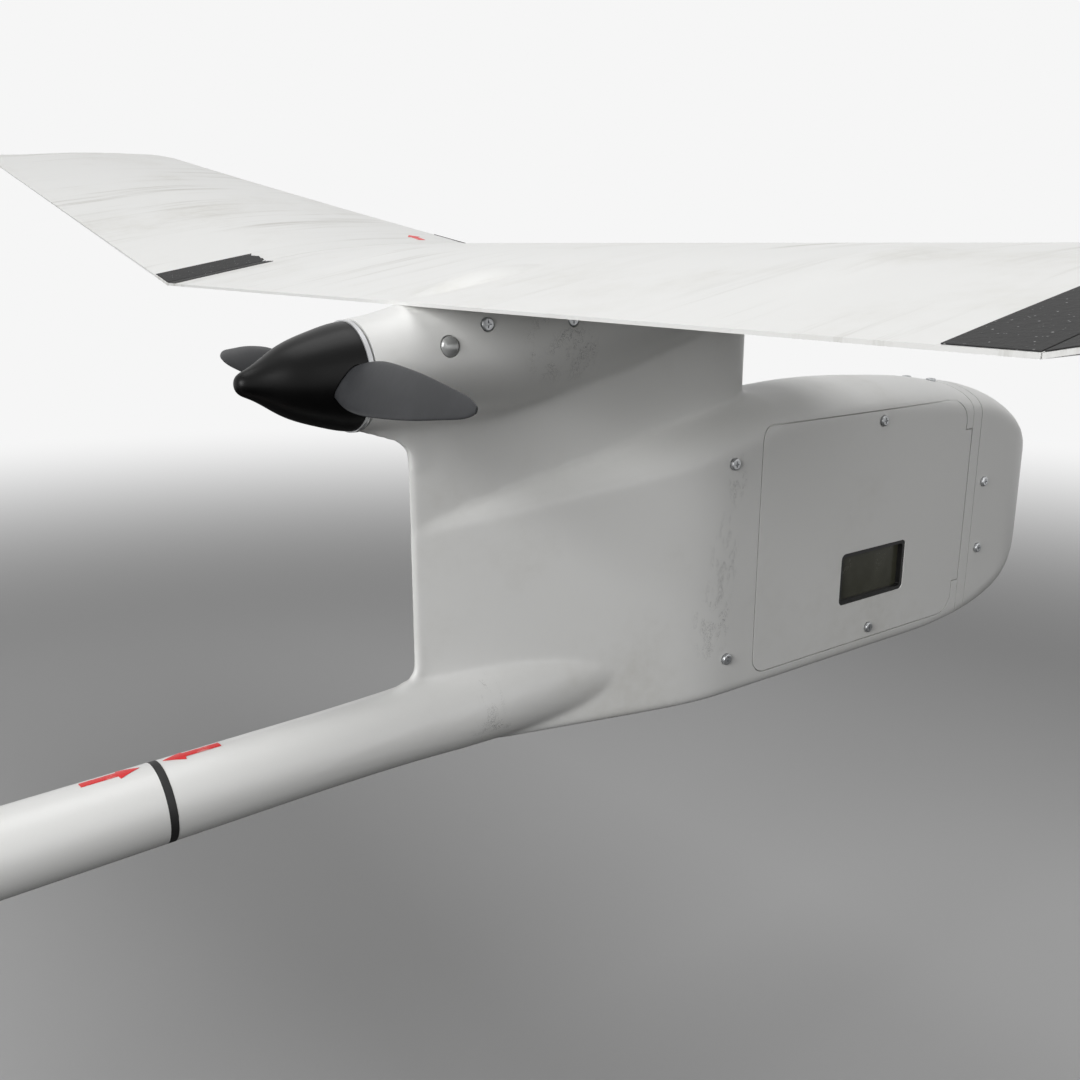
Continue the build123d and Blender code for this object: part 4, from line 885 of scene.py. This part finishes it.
weave, entry, leave = group_of(
    "woven", [("Vector", "NodeSocketVector", None), ("Pitch", "NodeSocketFloat", 500.0)],
    [("Height", "NodeSocketFloat"), ("Mask", "NodeSocketFloat")])
sized = node(weave, "VectorMath", [(0, entry.outputs["Vector"]), ("Scale", entry.outputs["Pitch"])],
             operation="SCALE")
tows = node(weave, "TexChecker", [("Vector", sized.outputs[0])], Scale=1.0)
threads = node(weave, "TexWave", [("Vector", sized.outputs[0])], Scale=2.0, Distortion=0.4,
               bands_direction="DIAGONAL")
weave.links.new(threads.outputs["Fac"], leave.inputs["Height"])
weave.links.new(tows.outputs["Fac"], leave.inputs["Mask"])
print("groups", [tree.name for tree in bpy.data.node_groups])

# %% [markdown]
# One maker builds the plain finishes. A base colour and a slightly different second colour are
# mixed by the effect's mask, roughness follows the same mask, and the effect's height
# drives a small bump. Numbers that never vary are set straight on the shader.

# %% Plain finishes
def linear(code):
    """Hex colour as linear red, green, blue, alpha."""
    parts = [int(code[i:i + 2], 16) / 255 for i in (0, 2, 4)]
    return (*[c / 12.92 if c <= 0.04045 else ((c + 0.055) / 1.055) ** 2.4 for c in parts], 1.0)


def blank(name):
    material = bpy.data.materials.new(name)
    material.use_nodes = True
    tree = material.node_tree
    vector = tree.nodes.new("ShaderNodeTexCoord").outputs["Object"]
    return material, tree, tree.nodes["Principled BSDF"], vector


def place_group(tree, group, vector, **values):
    made = tree.nodes.new("ShaderNodeGroup")
    made.node_tree = group
    tree.links.new(vector, made.inputs["Vector"])
    for key, value in values.items():
        made.inputs[key].default_value = value
    return made


def mixed(tree, mask, first, second):
    """Colour between two colours, each a hex code or a socket."""
    made = tree.nodes.new("ShaderNodeMix")
    made.data_type = "RGBA"
    tree.links.new(mask, made.inputs["Factor"])
    for socket, value in ((6, first), (7, second)):
        if isinstance(value, str):
            made.inputs[socket].default_value = linear(value)
        else:
            tree.links.new(value, made.inputs[socket])
    return made.outputs[2]


def between(tree, mask, low, high):
    return maths(tree, "ADD", maths(tree, "MULTIPLY", mask, high - low), low)


def bumped(tree, shader, height, strength, distance):
    made = tree.nodes.new("ShaderNodeBump")
    made.inputs["Strength"].default_value, made.inputs["Distance"].default_value = strength, distance
    tree.links.new(height, made.inputs["Height"])
    tree.links.new(made.outputs["Normal"], shader.inputs["Normal"])


def finish(name, colours, rough, metal=0.0, coat=0.0, effect=None, size=900.0, bump=(0.12, 0.0001),
           shine=0.5):
    """Plain finish from two colours, a roughness range and one shared effect."""
    material, tree, shader, vector = blank(name)
    group = effect or grain
    made = place_group(tree, group, vector, **{"Pitch" if group is weave else "Size": size})
    tree.links.new(mixed(tree, made.outputs["Mask"], *colours), shader.inputs["Base Color"])
    tree.links.new(between(tree, made.outputs["Mask"], *rough), shader.inputs["Roughness"])
    shader.inputs["Metallic"].default_value, shader.inputs["Coat Weight"].default_value = metal, coat
    shader.inputs["Specular IOR Level"].default_value = shine
    bumped(tree, shader, made.outputs["Height"], *bump)
    return material


finishes = {
    "spinner": finish("spinner_satin", ("020202", "050505"), (0.35, 0.37), bump=(0.0, 0.00001), shine=0.16),
    "blade": finish("blade_plastic", ("343537", "3d3e40"), (0.34, 0.42), bump=(0.05, 0.00004), shine=0.25),
    "lip": finish("turned_lip", ("c9cacb", "aeb0b2"), (0.28, 0.4), metal=0.6),
    "steel": finish("screw_steel", ("c8cacc", "8d8f90"), (0.3, 0.45), metal=0.85, size=1400.0),
    "aluminium": finish("anodised", ("8d9094", "a3a6a9"), (0.35, 0.5), metal=1.0, size=1200.0),
    "bell": finish("motor_black", ("1b1c1e", "303236"), (0.3, 0.45), metal=0.7),
    "copper": finish("copper_winding", ("9c5a2c", "6e3716"), (0.35, 0.55), metal=0.9, effect=weave),
    "carbon": finish("carbon_weave", ("0d0e0f", "222426"), (0.28, 0.42), coat=0.4, effect=weave, size=450.0),
    "plastic": finish("black_moulding", ("151617", "232425"), (0.42, 0.6)),
    "rubber": finish("rubber_band", ("0b0b0b", "161616"), (0.6, 0.8), size=1600.0),
    "plug": finish("plug_rubber", ("b4b5b4", "8f9090"), (0.2, 0.34), metal=0.35),
    "board": finish("board_green", ("0d4a26", "146334"), (0.35, 0.5), effect=weave, size=700.0),
    "wrap": finish("battery_wrap", ("27407c", "1c2f60"), (0.3, 0.45), coat=0.3),
    "strap": finish("strap_weave", ("141414", "262626"), (0.75, 0.9), effect=weave, size=600.0,
                    bump=(0.5, 0.0003)),
    "tray": finish("tray_laminate", ("2a2b2c", "3b3c3d"), (0.45, 0.6), effect=weave, size=300.0),
    "ceramic": finish("ceramic_patch", ("cbbfa3", "b7a988"), (0.5, 0.7)),
    "module": finish("radio_case", ("3a3c3f", "4c4e51"), (0.4, 0.55)),
    "bezel": finish("window_bezel", ("0c0c0c", "171717"), (0.35, 0.5)),
    "glass": finish("window_glass", ("3e3e32", "46463a"), (0.2, 0.3), coat=0.2, bump=(0.02, 0.00002)),
    "lens": finish("lens_glass", ("0c0d16", "141629"), (0.05, 0.1), coat=1.0, bump=(0.01, 0.00001)),
}
print(len(finishes), "plain finishes")

# %% [markdown]
# The paint is a warm off-white satin with faint, broken grime, and every scuff the plane has
# picked up: on the boom's flare, in front of the flank's rear screws and along the nacelle.
# Each scuff is one place in the scuff group, and the dark marks also dull the gloss.

# %% Paint, wing skin and tail skin
SCUFFS = (((28, -21, -157), 16, (1.7, 1, 0.55)), ((21, -21, -142), 13, (1.5, 1, 0.6)),
          ((30, -21, -177), 12, (0.8, 1, 1.2)), ((148, -32.7, -119), 17, (1.6, 1, 0.6)),
          ((142, -32.7, -147), 17, (1.2, 1, 0.7)), ((154, -32.7, -82), 11, (1.4, 1, 0.7)),
          ((62, -17, -16), 17, (0.8, 1, 0.8)), ((75, -16, -22), 13, (1.2, 1, 0.8)))


def painted(name, clean, dirty, scuffs=(), streak=0.0, rough=(0.36, 0.5)):
    material, tree, shader, vector = blank(name)
    dirt = place_group(tree, grime, vector, Size=11.0).outputs["Mask"]
    colour = mixed(tree, maths(tree, "MULTIPLY", dirt, 0.55), clean, dirty)
    mask = dirt
    if streak:
        flow = place_group(tree, streaks, vector).outputs["Mask"]
        colour = mixed(tree, maths(tree, "MULTIPLY", flow, streak), colour, "a9a69c")
        mask = maths(tree, "MAXIMUM", mask, flow)
    for place, reach, stretch in scuffs:
        made = place_group(tree, scuff, vector, Place=at(*place), Reach=reach * MM, Stretch=stretch)
        colour = mixed(tree, maths(tree, "MULTIPLY", made.outputs["Mask"], 0.9), colour, "2d2d2c")
        mask = maths(tree, "MAXIMUM", mask, made.outputs["Mask"])
    tree.links.new(colour, shader.inputs["Base Color"])
    tree.links.new(between(tree, mask, *rough), shader.inputs["Roughness"])
    peel = node(tree, "TexNoise", [("Vector", vector)], Scale=320.0, Detail=2.0)
    bumped(tree, shader, peel.outputs["Fac"], 0.05, 0.00008)
    shader.inputs["Specular IOR Level"].default_value = 0.35
    return material


finishes["paint"] = painted("shell_paint", "e9e9e7", "bdbab0", SCUFFS, rough=(0.33, 0.55))
finishes["wing"] = painted("wing_paint", "eeeeec", "c6c3b8", streak=0.6, rough=(0.42, 0.6))
finishes["tail"] = painted("tail_paint", "ebebe9", "c2bfb4", streak=0.4, rough=(0.42, 0.6))


def worn_red():
    """Sticker red with the paint showing through where it has rubbed off."""
    material, tree, shader, vector = blank("arrow_red")
    rub = node(tree, "TexNoise", [("Vector", vector)], Scale=210.0, Detail=4.0, Roughness=0.7)
    gone = maths(tree, "MULTIPLY", ramped(tree, rub.outputs["Fac"], 0.56, 0.68), 0.6)
    tree.links.new(mixed(tree, gone, "e01419", "eda7a2"), shader.inputs["Base Color"])
    tree.links.new(between(tree, gone, 0.4, 0.6), shader.inputs["Roughness"])
    return material


def grip_tape():
    """Near-black grit tape: coarse bumps, and single grains painted light grey as painted glints."""
    material, tree, shader, vector = blank("grip_tape")
    grit = node(tree, "TexVoronoi", [("Vector", vector)], Scale=620.0)
    coarse = node(tree, "TexNoise", [("Vector", vector)], Scale=420.0, Detail=4.0, Roughness=0.7)
    centres = maths(tree, "SUBTRACT", 1.0, ramped(tree, grit.outputs["Distance"], 0.1, 0.26))
    painted_glint_grains = maths(tree, "MULTIPLY", centres, ramped(tree, coarse.outputs["Fac"], 0.5, 0.62))
    # the grit grains are painted light grey here: painted glints where the grit would catch the light
    tree.links.new(mixed(tree, painted_glint_grains, "1c1c1c", "8f8f8f"), shader.inputs["Base Color"])
    tree.links.new(between(tree, painted_glint_grains, 0.82, 0.45), shader.inputs["Roughness"])
    bumped(tree, shader, coarse.outputs["Fac"], 0.8, 0.0006)
    return material


finishes["arrow"], finishes["tape"] = worn_red(), grip_tape()
print(len(finishes), "finishes")

# %% [markdown]
# The CAD pieces whose shape is already right keep it and only take a finish.

# %% Finishes for the CAD pieces
WEARS = {
    "spinner": "spinner", "blade": "propeller", "lip": "spinner_plate",
    "steel": "panel_screws shell_screws tail_screws hinge_pins motor_screws motor_shaft prop_nut wing_bolts "
             "elevator_pushrod rudder_pushrod",
    "aluminium": "motor_mount board_standoffs camera_bracket", "bell": "motor_bell", "copper": "motor_stator",
    "carbon": "centre_spar wing_spar_port wing_spar_starboard wing_joiner_port wing_joiner_starboard "
              "boom_ferrule",
    "plastic": "elevator_arm elevator_horn rudder_arm rudder_horn tail_servos servo_cradles camera_body "
               "speed_controller",
    "rubber": "boom_joint_ring", "board": "autopilot_board", "wrap": "battery_pack", "strap": "battery_strap",
    "tray": "battery_tray tail_saddle", "ceramic": "gps_antenna", "module": "radio_module",
    "bezel": "window_bezel", "glass": "camera_window", "lens": "camera_lens", "paint": "tail_boom",
    "tail": "stabiliser fin elevator rudder",
}


def wear_finish(obj, kind):
    obj.data.materials.clear()
    obj.data.materials.append(finishes[kind])


for kind, names in WEARS.items():
    for name in names.split():
        nodes[name].material_slots[0].material = finishes[kind]
print(sum(len(names.split()) for names in WEARS.values()), "CAD pieces finished")

# %% [markdown]
# Every new piece rides on one body of the frame, and most of them stand in for a CAD piece.

# %% Rides, replaced nodes and slots of the new pieces
PIECES = [(hull, "airframe", "fuselage_shell", "paint", "shell_paint"),
          (ring, "airframe", "nose_ring", "paint", "shell_paint"),
          (nose, "airframe", "nose_cap", "paint", "shell_paint"),
          (panel_skin, "airframe", "access_panel", "paint", "shell_paint"),
          (plugs, "airframe", "nacelle_plugs", "plug", "rubber_black"),
          (wing, "airframe", "wing_centre", "wing", "wing_skin"),
          (tapes["centre"], "airframe", "wing_tape_centre", "tape", "tape_black"),
          (port_arrow, "port_wing", None, "arrow", "wing_skin"),
          (fore_arrow, "airframe", None, "arrow", "shell_paint"),
          (aft_arrow, "tail", None, "arrow", "shell_paint")]
for side_name, panel in panels.items():
    PIECES += [(panel, side_name + "_wing", "wing_panel_" + side_name, "wing", "wing_skin"),
               (tapes[side_name], side_name + "_wing", "wing_tape_" + side_name, "tape", "tape_black")]
for piece, body, stands_for, kind, slot_name in PIECES:
    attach(piece, body)
    if stands_for:
        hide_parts(stands_for)
    wear_finish(piece, kind)
for piece in (hull, ring, nose, panel_skin, *tapes.values()):
    smooth(piece, 40)
print(len(PIECES), "new pieces")

# %% [markdown]
# The plane hangs over a plain pale floor under three large soft lamps, with little light from
# below, so the wings are bright, the flanks grey and the undersides dark. Far from the plane
# the floor fades into the backdrop: a camera ray sees the backdrop's own pale grey there.

# %% Floor, lamp and backdrop
BACKDROP = linear("f6f6f6")
FLOOR_Z, FADE_FROM, FADE_TO = -0.30, 1.1, 2.9


def shown_backdrop(tree, seen):
    """One for rays that look at the backdrop: from the camera, off metal or through glass."""
    direct = maths(tree, "MAXIMUM", seen.outputs["Is Camera Ray"], seen.outputs["Is Glossy Ray"])
    return maths(tree, "MAXIMUM", direct, seen.outputs["Is Transmission Ray"])


deselect()
bpy.ops.mesh.primitive_plane_add(size=9, location=(HOME.x, 0, FLOOR_Z))
floor = bpy.context.object
floor.name = "floor"
floor_finish, tree, shader, vector = blank("pale_floor")
spread = node(tree, "VectorMath", [(0, vector)], operation="LENGTH")
far = ramped(tree, spread.outputs["Value"], FADE_FROM, FADE_TO)
seen = node(tree, "LightPath")
tree.links.new(mixed(tree, seen.outputs["Is Camera Ray"], "5c5c5c", "c8c8c8"), shader.inputs["Base Color"])
shader.inputs["Roughness"].default_value = 0.9
shader.inputs["Specular IOR Level"].default_value = 0.1
glow = node(tree, "Emission", Color=BACKDROP)
camera_far = maths(tree, "MULTIPLY", far, shown_backdrop(tree, seen))
blend = node(tree, "MixShader", [(0, camera_far), (1, shader.outputs[0]), (2, glow.outputs[0])])
tree.links.new(blend.outputs[0], tree.nodes["Material Output"].inputs["Surface"])
floor.data.materials.append(floor_finish)

world = bpy.data.worlds.new("studio")
bpy.context.scene.world = world
world.use_nodes = True
tree = world.node_tree
room = tree.nodes["Background"]
room.inputs["Color"].default_value = (1, 1, 1, 1)
room.inputs["Strength"].default_value = 0.10
wall = node(tree, "Background", Color=BACKDROP)
seen = node(tree, "LightPath")
blend = node(tree, "MixShader", [(0, shown_backdrop(tree, seen)), (1, room.outputs[0]), (2, wall.outputs[0])])
tree.links.new(blend.outputs[0], tree.nodes["World Output"].inputs["Surface"])


def soft_lamp(name, place, target, size, watts):
    bpy.ops.object.light_add(type="AREA", location=place)
    lamp = bpy.context.object
    lamp.name = lamp.data.name = name
    lamp.data.size, lamp.data.energy = size, watts
    lamp.rotation_euler = (Vector(target) - Vector(place)).to_track_quat("-Z", "Y").to_euler()
    return lamp


deselect()
soft_lamp("overhead", (0.1, 0.15, 1.7), (0.1, 0, 0), 1.1, 11.5)
soft_lamp("rear_key", (-1.5, -0.55, 0.7), (0.1, 0, 0.1), 0.9, 24)
soft_lamp("side_fill", (0.3, -1.7, 0.7), (0.15, 0, 0.05), 1.2, 6)
bpy.context.scene.view_settings.view_transform = "Standard"
